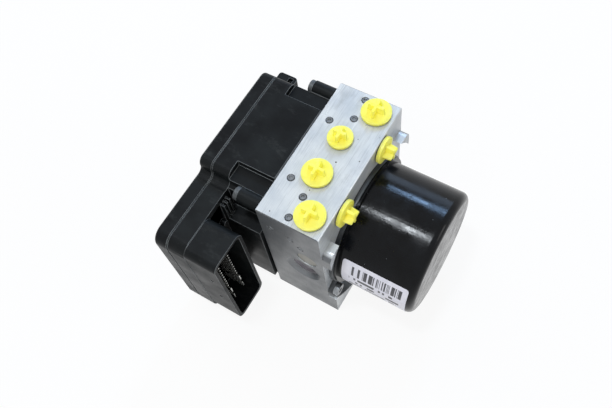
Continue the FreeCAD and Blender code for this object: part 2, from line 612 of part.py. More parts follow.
def motor_end_plate():
    disc = turned("X", FRONT, "0", MOTOR_Z, [
        ("-pilotLength", "shaftRadius + bearingLip"), ("-pilotLength", "pilotRadius"),
        ("0", "pilotRadius"), ("0", PLATE_RADIUS), ("plateThick", PLATE_RADIUS),
        ("plateThick", "frontRaceRadius + pressFit"),
        ("plateThick - raceWidth - bearingGap", "frontRaceRadius + pressFit"),
        ("plateThick - raceWidth - bearingGap", "shaftRadius + bearingLip")])
    parts = [disc]
    holes = []
    for side in ("-1", "1"):
        y = side + " * " + EAR_Y
        parts.append(rod("X", FRONT, y, EAR_Z, "earRadius", "plateThick"))
        # The ear's neck runs square to the line from the motor's axis to the screw.
        neck = []
        for share, edge in (("earRoot", 1), ("1", 1), ("1", -1), ("earRoot", -1)):
            across = "%s * %s + %d * earRadius * earDrop / %s" % (EAR_Y, share, edge, EAR_REACH)
            up = "%d * earRadius * %s / %s" % (edge, EAR_Y, EAR_REACH)
            neck.append(("%s * (%s)" % (side, across),
                         "%s - earDrop * %s + %s" % (MOTOR_Z, share, up)))
        parts.append(slab(FRONT, neck, "plateThick"))
        holes.append(rod("X", FRONT, y, EAR_Z, "screwRadius + pressFit", "plateThick"))
    node("motor_end_plate", cut(fuse(parts), holes))


def motor_can():
    end = "canEnd - blockThick / 2 + portFaceStep"
    floor = end + " - canWall"
    boss = floor + " - rearRaceWidth - bearingGap"
    inner = CAN_RADIUS + " - canWall"
    pocket = "rearRaceRadius + pressFit"
    can = turned("X", FRONT, "0", MOTOR_Z, [
        ("plateThick", inner), ("plateThick", RIM_RADIUS), ("plateThick + rimThick", RIM_RADIUS),
        ("plateThick + rimThick", CAN_RADIUS), (end, CAN_RADIUS), (end, "0"), (floor, "0"),
        (floor, pocket), (boss, pocket), (boss, pocket + " + bossWall"),
        (floor, pocket + " + bossWall"), (floor, inner)],
        [((end, CAN_RADIUS), "canCorner"), ((floor, inner), "canCorner - canWall")])
    node("motor_can", can)


def magnets():
    start = "(blockThick / 2 - portFaceStep + plateThick + magnetStart)"
    outer = CAN_RADIUS + " - canWall - pressFit"
    for name, turn in (("front", 180.0), ("back", 0.0)):
        arcs = []
        for radius in (outer, outer + " - magnetThick"):
            arc = rod("X", start, "0", MOTOR_Z, radius, "magnetLength")
            bind(arc, "Angle", "magnetAngle")
            angle = turn + 90.0 - worth("magnetAngle") / 2
            spin = FreeCAD.Rotation(FreeCAD.Vector(1, 0, 0), angle)
            place(arc, start, "0", MOTOR_Z, spin.multiply(AXIS_TURNS["X"]))
            arcs.append(arc)
        node("magnet_" + name, cut(arcs[0], [arcs[1]]))


def spoke(x, length, width, radius, height, angle):
    """A block that stands out from the motor's axis at an angle."""
    across = math.cos(math.radians(angle))
    up = math.sin(math.radians(angle))
    thing = box(x, "0", "0", length, width, height)
    spin = FreeCAD.Rotation(FreeCAD.Vector(1, 0, 0), angle)
    return place(thing, x, "-(%s) / 2 * %.9f - (%s) * %.9f" % (width, across, radius, up),
                 MOTOR_Z + " - (%s) / 2 * %.9f + (%s) * %.9f" % (width, up, radius, across), spin)


def armature():
    count = int(worth("slotCount"))
    angles = [360.0 / count * i for i in range(count)]
    core = turned("X", CORE, "0", MOTOR_Z, [
        ("0", "shaftRadius"), ("0", CORE_RADIUS), ("coreLength", CORE_RADIUS),
        ("coreLength", "shaftRadius")])
    slots = [spoke(CORE + " - overcut", "coreLength + 2 * overcut", "slotWidth",
                   CORE_RADIUS + " - slotDepth", "slotDepth + overcut", angle) for angle in angles]
    node("armature_core", cut(core, slots))
    windings = []
    outer = CORE_RADIUS + " - windInset"
    for start in ("-windLength", "coreLength"):
        end = start + " + windLength"
        windings.append(turned("X", CORE, "0", MOTOR_Z, [
            (start, "windBore"), (start, outer + " - plugEdge"), (start + " + plugEdge", outer),
            (end + " - plugEdge", outer), (end, outer + " - plugEdge"), (end, "windBore")]))
    node("armature_windings", group(windings))
    start = "(blockThick / 2 - portFaceStep + plateThick + segmentStart)"
    drum = turned("X", start, "0", MOTOR_Z, [
        ("0", "shaftRadius"), ("0", "segmentRadius"), ("segmentLength", "segmentRadius"),
        ("segmentLength", "shaftRadius")])
    # The grooves lie midway between the core's slots.
    grooves = [spoke(start + " - overcut", "segmentLength + 2 * overcut", "segmentSlot",
                     "segmentRadius - segmentSlotDepth", "segmentSlotDepth + overcut",
                     angle + 180.0 / count) for angle in angles]
    node("commutator", cut(drum, grooves))


def motor_shaft():
    journal = "canEnd - canWall - rearRaceWidth - bearingGap - 2 * shaftEndGap"
    start = "pumpX + camWidth / 2"
    shaft = turned("X", "0", "0", MOTOR_Z, [
        (start, "0"), (start, "shaftRadius"), (journal, "shaftRadius"), (journal, "rearJournal"),
        ("canEnd - canWall - shaftEndGap", "rearJournal"), ("canEnd - canWall - shaftEndGap", "0")])
    pin = rod("X", "pumpX - camWidth / 2 - camPinStand", "0", MOTOR_Z + " + camOffset",
              "camPinRadius", "camWidth + 2 * camPinStand")
    node("motor_shaft", fuse([shaft, pin]))
    node("cam_ring", turned("X", "pumpX - camWidth / 2", "0", MOTOR_Z + " + camOffset", [
        ("0", "camPinRadius"), ("0", "camRingRadius"), ("camWidth", "camRingRadius"),
        ("camWidth", "camPinRadius")]))
    node("front_bearing", turned("X", PLATE, "0", MOTOR_Z, [
        ("0", "shaftRadius + runFit"), ("0", "frontRaceRadius"), ("-raceWidth", "frontRaceRadius"),
        ("-raceWidth", "shaftRadius + runFit")]))
    node("rear_bearing", turned("X", "canEnd - canWall", "0", MOTOR_Z, [
        ("0", "rearJournal + runFit"), ("0", "rearRaceRadius"), ("-rearRaceWidth", "rearRaceRadius"),
        ("-rearRaceWidth", "rearJournal + runFit")]))


def brush_gear():
    outer = CAN_RADIUS + " - canWall - holderGap"
    ring = turned("X", PLATE, "0", MOTOR_Z, [
        ("0", "holderBore"), ("0", outer), ("holderThick", outer),
        ("holderThick", "holderBore")])
    sleeves = []
    channels = []
    channel = "brushThick + 2 * pressFit"
    for name, side in (("front", -1), ("back", 1)):
        near = "segmentRadius + brushGap"
        length = "brushLength"
        y = near if side > 0 else "-(%s + %s)" % (near, length)
        node("brush_" + name, box(PLATE + " + holderThick + pressFit", y,
                                  MOTOR_Z + " - brushThick / 2", "brushWidth", length, "brushThick"))
        y = "holderBore" if side > 0 else "-(holderBore + brushLength)"
        sleeves.append(box(PLATE, y, MOTOR_Z + " - (%s) / 2 - holderWall" % channel,
                           "holderThick + brushWidth + 2 * pressFit + holderWall", "brushLength",
                           channel + " + 2 * holderWall"))
        y = "holderBore - overcut" if side > 0 else "-(holderBore + brushLength + overcut)"
        channels.append(box(PLATE + " + holderThick", y, MOTOR_Z + " - (%s) / 2" % channel,
                            "brushWidth + 2 * pressFit", "brushLength + 2 * overcut", channel))
    node("brush_holder", cut(fuse([ring] + sleeves), channels))
    node("motor_lead_stalk", rod("-X", FRONT, "0", LEAD_Z, "leadRadius",
                                 "blockThick - portFaceStep + leadReach"))


def socket_screw(axis, x, y, z, head_radius, head_height, radius, length):
    """A screw whose head stands on the place, with a round drive recess."""
    body = turned(axis, x, y, z, [
        ("-(%s)" % length, "0"), ("-(%s)" % length, radius), ("0", radius), ("0", head_radius),
        (head_height + " - plugEdge", head_radius), (head_height, head_radius + " - plugEdge"),
        (head_height, "screwSocket"), (head_height + " - screwSocketDepth", "screwSocket"),
        (head_height + " - screwSocketDepth", "0")])
    return body


def motor_screws():
    node("motor_screws", group([
        socket_screw("X", PLATE, y, z, "screwHeadRadius", "screwHeadHeight", "screwRadius",
                     "plateThick + screwDepth") for y, z in motor_screw_places()]))


# Control unit

def unit_outline(inset):
    """The unit seen along X: the main part, the wing that carries the socket, and the screw notch."""
    top = UNIT_TOP + " - " + inset
    wing_top = "blockHeight - wingDrop - " + inset
    wing_end = "-%s - wingLength + %s" % (ECU_HALF, inset)
    near = "-%s + %s" % (ECU_HALF, inset)
    far = "%s - %s" % (ECU_HALF, inset)
    notch_far = "-%s - notchWidth - %s" % (ECU_HALF, inset)
    notch_top = "notchTop + " + inset
    base = "ecuBase + " + inset
    return [(near, top), (far, top), (far, base), (near, base), (near, notch_top),
            (notch_far, notch_top), (notch_far, base), (wing_end, base), (wing_end, wing_top),
            (near, wing_top)]


def unit_slab(x, inset, thickness, face_round=None):
    points = unit_outline(inset)
    return slab(x, points, thickness, [
        (corner_values(points[0], points[1], points[2]), "ecuCorner - " + inset),
        (corner_values(points[8]), "ecuNose - " + inset),
        (corner_values(points[7]), "ecuHeel - " + inset),
        (corner_values(points[9]), "neckRadius + " + inset)], face_round)


def body_outline(inset):
    """The part of the unit that meets the block: full width, with lower shoulders for the screws."""
    base = "ecuBase + " + inset
    near = "-%s + %s" % (BODY_HALF, inset)
    far = "%s - %s" % (BODY_HALF, inset)
    return [(near, base), (far, base), (far, STEP_TOP), ("stepHalf", STEP_TOP),
            ("stepHalf", UNIT_TOP), ("-stepHalf", UNIT_TOP), ("-stepHalf", STEP_TOP),
            (near, STEP_TOP)]


def coil_room(x, length):
    """The hollow that the coils stand in, open to the block."""
    half = "(%s - hollowInset)" % BODY_HALF
    return box(x, "-" + half, "ecuBase + ecuWall", length, "2 * " + half,
               STEP_TOP + " - ecuBase - 2 * ecuWall")


def socket_slab(x, inset, length, corner):
    y_low = SOCKET_START + " + " + inset
    y_high = SOCKET_START + " + socketWidth - " + inset
    z_low = "socketBase + " + inset
    z_high = SOCKET_TOP + " - " + inset
    points = [(y_low, z_low), (y_high, z_low), (y_high, z_high), (y_low, z_high)]
    return slab(x, points, length, [(corner_values(*points), corner)])


def pin_places():
    """Every contact's Y and Z centre, its width along Z and its thickness along Y."""
    middle = "(%s + socketWidth / 2)" % SOCKET_START
    pin_top = "(%s - pinTopInset)" % SOCKET_TOP
    pitch = "((%s - socketBase - pinBaseInset) / (pinCount - 1))" % pin_top
    pins = []
    blades = []
    for side in ("-", "+"):
        y = "%s %s pinRowGap / 2" % (middle, side)
        for i in range(int(worth("pinCount"))):
            pins.append((y, "%s - %d * %s" % (pin_top, i, pitch)))
        for i in range(int(worth("bladeCount"))):
            blades.append((y, "socketBase + bladeBaseInset + %d * bladePitch" % i))
    return pins, blades


def contacts(x, pin_length, blade_length, extra):
    pins, blades = pin_places()
    boxes = []
    for y, z in pins:
        half = "pinWidth / 2 - " + extra
        width = "pinWidth + 2 * " + extra
        boxes.append(box(x, "%s - %s" % (y, half), "%s - %s" % (z, half), pin_length, width, width))
    for y, z in blades:
        boxes.append(box(x, "%s - bladeThick / 2 - %s" % (y, extra),
                         "%s - bladeWidth / 2 - %s" % (z, extra), blade_length,
                         "bladeThick + 2 * " + extra, "bladeWidth + 2 * " + extra))
    return boxes


def corner_ribs():
    """Ribs and a locating boss in the corner between the wing and the ledge."""
    corner = "(-%s - ledgeWidth)" % BODY_HALF
    ledge_top = "(blockHeight - ledgeDrop)"
    ribs = [rod("X", REAR_STEP, corner + " - 2 * bossRadius", ledge_top, "bossRadius", "bossHeight")]
    for number in range(int(worth("ribCount"))):
        ribs.append(box(REAR_STEP, "%s + %d * ribGap" % (corner, number), ledge_top, "ribReach",
                        "ribThick", "ribHeight"))
    return ribs


def moulding_marks():
    """Round ejector marks on the unit's top, and two dimples on the socket's outer wall."""
    marks = []
    for side in ("-", ""):
        marks.append(rod("Z", REAR_STEP + " + markInset", side + "markY", UNIT_TOP + " - markDepth",
                         "markRadius", "markDepth + overcut"))
    for number in range(2):
        z = "%s - dimpleDrop - %d * dimplePitch" % (SOCKET_TOP, number)
        marks.append(rod("Y", REAR_STEP + " + socketLength - dimpleInset", SOCKET_START + " - overcut", z,
                         "dimpleRadius", "overcut + dimpleDepth"))
    return marks


def ecu_housing():
    rear = unit_slab(SEAM, "0", "ecuRear")
    front = slab(REAR_STEP, body_outline("0"), "ecuDepth - lidDepth - ecuRear - gasketThick")
    ledge = box(REAR_STEP + " - ecuWall", "-%s - ledgeWidth" % BODY_HALF, "ledgeBase",
                "ecuDepth - lidDepth - ecuRear - gasketThick + ecuWall", "ledgeWidth",
                "blockHeight - ledgeDrop - ledgeBase")
    parts = [rear, front, ledge, socket_slab(REAR_STEP, "0", "socketLength", "socketCorner")]
    hollows = [unit_slab(SEAM, "ecuWall", "ecuRear - ecuWall"),
               coil_room(REAR_STEP + " - ecuWall - overcut",
                         "ecuDepth - lidDepth - ecuRear - gasketThick + ecuWall + overcut"),
               socket_slab(REAR_STEP, "socketWall", "socketLength", "socketInnerCorner")]
    for y, z in unit_screw_places():
        parts.append(rod("-X", BACK, y, z, "postRadius", "postLength + gasketThick"))
        hollows.append(rod("-X", BACK, y, z, "unitScrewRadius + pressFit",
                           "postLength + gasketThick"))
        start = "(-blockThick / 2 - gasketThick - postLength)"
        hollows.append(rod("-X", start, y, z, "unitScrewHead + accessGap",
                           "ecuDepth - gasketThick - postLength"))
    # The catch stands in the window of the lid's latch.
    parts.append(box(SEAM + " + latchWall", ECU_HALF + " - ecuWall", LATCH_LOW + " + latchWall",
                     "latchOverhang - 2 * latchWall - latchFit",
                     "ecuWall + latchReach - latchWall - latchFit", "latchHeight - 2 * latchWall"))
    parts += corner_ribs()
    hollows += moulding_marks()
    hollows += contacts(REAR_STEP + " - ecuWall", "ecuWall", "ecuWall", "moldGap")
    node("ecu_housing", cut(fuse(parts), hollows))
    node("connector_pins", group(contacts(REAR_STEP + " - ecuWall", "pinReach + ecuWall",
                                          "bladeReach + ecuWall", "0")))


def ecu_lid():
    rear = "(-blockThick / 2 - ecuDepth)"
    outer = unit_slab(rear, "0", "lidDepth - seamGap", "lidEdge")
    lip = unit_slab(SEAM + " - seamGap", "seamInset", "seamGap")
    hollow = unit_slab(rear + " + ecuWall", "ecuWall", "lidDepth - ecuWall")
    # A latch with an open window reaches from the lid over the housing's far side.
    latch_start = SEAM + " + latchOverhang - latchLength"
    latch = box(latch_start, ECU_HALF + " - ecuWall / 2", LATCH_LOW, "latchLength",
                "ecuWall / 2 + latchReach", "latchHeight")
    cutters = [hollow,
               box(SEAM, ECU_HALF + " - ecuWall", LATCH_LOW, "latchOverhang", "ecuWall + latchFit",
                   "latchHeight"),
               box(SEAM + " + latchWall - latchFit", ECU_HALF + " + latchFit", LATCH_LOW,
                   "latchOverhang - 2 * latchWall + latchFit", "latchReach - latchWall",
                   "latchHeight")]
    for y, z in unit_screw_places():
        cutters.append(rod("-X", SEAM, y, z, "unitScrewHead + accessGap", "lidDepth"))
    node("ecu_lid", cut(fuse([outer, lip, latch]), cutters))


def ecu_gasket():
    seal = slab(SEAL_FACE, body_outline("0"), "gasketThick")
    cutters = [coil_room(SEAL_FACE, "gasketThick")]
    for y, z in unit_screw_places():
        cutters.append(rod("-X", BACK, y, z, "postRadius + pressFit", "gasketThick"))
    node("ecu_gasket", cut(seal, cutters))


def circuit_board():
    face = REAR_STEP + " - ecuWall - boardThick"
    board = unit_slab(face, "(ecuWall + boardGap)", "boardThick")
    parts = [board,
             box(face + " - chipThick", "-chipSize / 2", MOTOR_Z + " - chipSize / 2", "chipThick",
                 "chipSize", "chipSize")]
    for side in ("-", ""):
        parts.append(rod("-X", face, "%s%s / 2" % (side, ECU_HALF), MOTOR_Z, "capRadius", "capHeight"))
    node("circuit_board", fuse(parts))


def ecu_screws():
    head = "(-blockThick / 2 - gasketThick - postLength)"
    node("ecu_screws", group([
        socket_screw("-X", head, y, z, "unitScrewHead", "unitHeadHeight", "unitScrewRadius",
                     "postLength + gasketThick + unitScrewDepth") for y, z in unit_screw_places()]))


def build():
    hydraulic_block()
    port_plugs()
    cross_drilling_seals()
    pump("front", "-Y", "-1")
    pump("back", "Y", "1")
    dampers()
    accumulator("front", "-1")
    accumulator("back", "1")
    solenoid_valves()
    motor_end_plate()
    motor_can()
    magnets()
    armature()
    motor_shaft()
    brush_gear()
    motor_screws()
    ecu_housing()
    ecu_lid()
    ecu_gasket()
    circuit_board()
    ecu_screws()
    doc.recompute()


def check():
    for thing in doc.Objects:
        if "Invalid" in thing.State or "Error" in thing.State:
            raise RuntimeError("%s (%s) failed" % (thing.Name, thing.Label))
    for thing in nodes:
        if thing.Shape.isNull() or not thing.Shape.isValid():
            raise RuntimeError(thing.Label + " has no valid shape")


def write():
    os.makedirs("parts", exist_ok=True)
    for thing in nodes:
        thing.Shape.exportStep("parts/" + thing.Label + ".step")
    print(len(nodes), "nodes written")


build()
check()
write()
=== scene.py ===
import math

import bpy
from mathutils import Matrix, Vector
from mathutils.bvhtree import BVHTree


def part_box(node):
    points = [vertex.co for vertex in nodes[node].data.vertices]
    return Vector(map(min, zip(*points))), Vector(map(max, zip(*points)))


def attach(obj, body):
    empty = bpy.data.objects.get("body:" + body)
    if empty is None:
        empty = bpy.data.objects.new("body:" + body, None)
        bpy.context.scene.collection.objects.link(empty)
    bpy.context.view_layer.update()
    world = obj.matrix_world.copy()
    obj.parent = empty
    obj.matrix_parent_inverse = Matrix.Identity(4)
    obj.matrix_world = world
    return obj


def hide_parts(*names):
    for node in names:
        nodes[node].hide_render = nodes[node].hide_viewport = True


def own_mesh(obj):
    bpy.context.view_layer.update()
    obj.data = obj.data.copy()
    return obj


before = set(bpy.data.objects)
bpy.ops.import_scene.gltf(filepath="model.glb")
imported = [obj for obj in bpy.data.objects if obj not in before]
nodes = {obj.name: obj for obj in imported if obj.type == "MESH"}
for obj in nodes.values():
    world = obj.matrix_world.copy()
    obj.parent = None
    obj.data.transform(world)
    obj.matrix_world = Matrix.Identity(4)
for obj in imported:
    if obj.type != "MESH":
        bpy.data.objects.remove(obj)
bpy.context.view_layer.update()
print("frame:", len(nodes), "nodes")

mm = 0.001
degree = math.pi / 180

# Where the photograph was taken from, and how wide it sees
camera = {
    "place": (103.85, -146.0, 400.4),   # mm
    "right": (0.854, 0.511, -0.096),
    "up": (-0.421, 0.788, 0.450),
    "lens": 39.6,
    "sensor": 36.0,
    "nearest": 0.01,
}


def addCamera(look):
    data = bpy.data.cameras.new("photoCamera")
    data.lens = look["lens"]
    data.sensor_width = look["sensor"]
    data.clip_start = look["nearest"]
    cam = bpy.data.objects.new("photoCamera", data)
    bpy.context.collection.objects.link(cam)
    right = Vector(look["right"]).normalized()
    back = right.cross(Vector(look["up"])).normalized()
    up = back.cross(right)
    turn = Matrix((right, up, back)).transposed().to_4x4()
    cam.matrix_world = Matrix.Translation(Vector(look["place"]) * mm) @ turn
    bpy.context.scene.camera = cam


addCamera(camera)
print("camera set")

# Lamps: a small window behind the block with a wide pale one below it, one beyond the unit, a small
# one right above the can, a low one at the motor's end, and two soft ones that no gloss shows
lamps = {
    "window": {
        "place": (-0.11, 0.87, 0.83), "size": (0.17, 0.11), "watts": 4.2,
        "colour": (0.38, 0.62, 1.0),
    },
    "lowWindow": {
        "place": (-0.16, 1.05, 0.44), "size": (0.50, 0.30), "watts": 1.6,
        "colour": (0.50, 0.70, 1.0),
    },
    "farWindow": {
        "place": (-1.20, 0.52, 0.24), "size": (0.50, 0.12), "watts": 4.0,
        "colour": (0.85, 0.93, 1.0),
    },
    "skylight": {
        "place": (-0.13, -0.15, 1.26), "size": (0.14, 0.13), "watts": 6.4,
        "colour": (0.88, 0.94, 1.0),
    },
    "overhead": {
        "place": (-0.85, 0.55, 1.60), "size": (1.40, 1.40), "watts": 4.6,
        "colour": (1.0, 1.0, 1.0), "inGloss": False,
    },
    "fill": {
        "place": (0.25, -1.00, 0.75), "size": (0.80, 0.80), "watts": 3.4,
        "colour": (1.0, 0.99, 0.97), "inGloss": False,
    },
    "side": {
        "place": (1.15, 0.35, 0.50), "size": (0.40, 0.40), "watts": 2.0,
        "colour": (1.0, 0.99, 0.97),
    },
}
lampAim = (0, 0, 0.05)
ambient = 0.44   # light from all round, for surfaces the lamps miss


def addLamp(name, look):
    data = bpy.data.lights.new(name, "AREA")
    data.shape = "RECTANGLE"
    data.size, data.size_y = look["size"]
    data.energy = look["watts"]
    data.color = look["colour"]
    lamp = bpy.data.objects.new(name, data)
    lamp.visible_glossy = look.get("inGloss", True)
    bpy.context.collection.objects.link(lamp)
    place = Vector(look["place"])
    turn = (Vector(lampAim) - place).to_track_quat("-Z", "Y").to_matrix().to_4x4()
    lamp.matrix_world = Matrix.Translation(place) @ turn


for name, look in lamps.items():
    addLamp(name, look)


# Node helpers

# Where the mix node keeps its two values and its result, by the kind of data
mixSockets = {"FLOAT": (2, 3, 0), "RGBA": (6, 7, 2)}


def shade(r, g, b):
    # A screen colour from 0 to 255 as linear light
    shares = [c / 255 for c in (r, g, b)]
    linear = [s / 12.92 if s <= 0.0404 else ((s + 0.055) / 1.055) ** 2.4 for s in shares]
    return (*linear, 1.0)


def setInputs(tree, node, inputs):
    # Each input takes another node's output or a plain value
    for key, value in inputs.items():
        if isinstance(value, bpy.types.NodeSocket):
            tree.links.new(value, node.inputs[key])
        else:
            node.inputs[key].default_value = value


def addNode(tree, kind, inputs, **settings):
    node = tree.nodes.new(kind)
    for key, value in settings.items():
        setattr(node, key, value)
    setInputs(tree, node, inputs)
    return node


def maths(tree, kind, *values):
    node = addNode(tree, "ShaderNodeMath", dict(enumerate(values)), operation=kind)
    return node.outputs[0]


def highest(tree, values):
    top = values[0]
    for value in values[1:]:
        top = maths(tree, "MAXIMUM", top, value)
    return top


def weighed(tree, first, firstShare, second, secondShare):
    return maths(tree, "ADD", maths(tree, "MULTIPLY", first, firstShare),
                 maths(tree, "MULTIPLY", second, secondShare))


def objectPlace(tree, stretch=(1, 1, 1), shift=(0, 0, 0), turn=(0, 0, 0)):
    spot = addNode(tree, "ShaderNodeTexCoord", {}).outputs["Object"]
    mapping = addNode(tree, "ShaderNodeMapping", {
        "Vector": spot, "Location": shift, "Rotation": turn, "Scale": stretch})
    return mapping.outputs["Vector"]


def grain(tree, scale, detail, rough=0.55, **layout):
    spot = objectPlace(tree, **layout)
    noise = addNode(tree, "ShaderNodeTexNoise", {
        "Vector": spot, "Scale": scale, "Detail": detail, "Roughness": rough})
    return noise.outputs["Fac"]


def spread(tree, value, low, high, toLow=0.0, toHigh=1.0):
    # Carries a value from one span to another, held at both ends
    node = addNode(tree, "ShaderNodeMapRange", {
        "Value": value, "From Min": low, "From Max": high, "To Min": toLow, "To Max": toHigh,
    }, clamp=True)
    return node.outputs["Result"]


def blend(tree, factor, first, second, kind="RGBA"):
    low, high, result = mixSockets[kind]
    node = addNode(tree, "ShaderNodeMix", {
        "Factor": factor, low: first, high: second}, data_type=kind)
    return node.outputs[result]


def raised(tree, height, look):
    node = addNode(tree, "ShaderNodeBump", {
        "Height": height, "Strength": look["bump"], "Distance": look["depth"]})
    return node.outputs["Normal"]


def specks(tree, scale, share, size):
    # Round specks: cells whose own number is under the share, and only near their middle
    cells = addNode(tree, "ShaderNodeTexVoronoi", {
        "Vector": objectPlace(tree), "Scale": scale}, feature="F1")
    split = addNode(tree, "ShaderNodeSeparateColor", {"Color": cells.outputs["Color"]})
    near = maths(tree, "LESS_THAN", cells.outputs["Distance"], size)
    chosen = maths(tree, "LESS_THAN", split.outputs["Red"], share)
    return maths(tree, "MULTIPLY", near, chosen)


def tinted(tree, colour, look, noise=None):
    # The look's tint comes in where its noise rises through the span, up to the share
    if noise is None:
        noise = grain(tree, **look["noise"])
    factor = spread(tree, noise, *look["span"], 0.0, look["share"])
    return blend(tree, factor, colour, look["tint"])


def speckled(tree, colour, look):
    found = highest(tree, [specks(tree, *size) for size in look["sizes"]])
    return blend(tree, found, colour, look["tint"])


def clouded(tree, look):
    # The look's two colours in clouds, and the roughness that goes with them
    clouds = grain(tree, **look["clouds"])
    colour = blend(tree, spread(tree, clouds, *look["cloudSpan"]), look["colour"], look["second"])
    return colour, spread(tree, clouds, *look["roughSpan"], *look["rough"])


def newFinish(name):
    surface = bpy.data.materials.new(name)
    surface.use_nodes = True
    return surface, surface.node_tree, surface.node_tree.nodes["Principled BSDF"]


# What the plain finishes share: the detail of their two noises, and the span of each that shows
plainLook = {
    "patchDetail": 4.0, "patchSpan": (0.32, 0.68), "fineDetail": 2.0, "fineSpan": (0.25, 0.75),
}


def plainFinish(name, look):
    # Two close colours in soft patches, a fine surface grain and uneven gloss
    surface, tree, shader = newFinish(name)
    stretch = look.get("stretch", (1, 1, 1))
    patches = grain(tree, look["patch"], plainLook["patchDetail"], stretch=stretch)
    fine = grain(tree, look["fine"], plainLook["fineDetail"], stretch=stretch)
    patches = spread(tree, patches, *plainLook["patchSpan"])
    colour = blend(tree, patches, look["colour"], look["second"])
    if "dust" in look:
        colour = speckled(tree, colour, look["dust"])
    setInputs(tree, shader, {
        "Base Color": colour,
        "Roughness": spread(tree, fine, *plainLook["fineSpan"], *look["rough"]),
        "Normal": raised(tree, fine, look),
        "Metallic": look.get("metal", 0.0),
    })
    setInputs(tree, shader, {key: look[key] for key in (
        "Specular IOR Level", "Anisotropic", "Subsurface Weight", "Subsurface Scale",
        "Subsurface Radius") if key in look})
    return surface


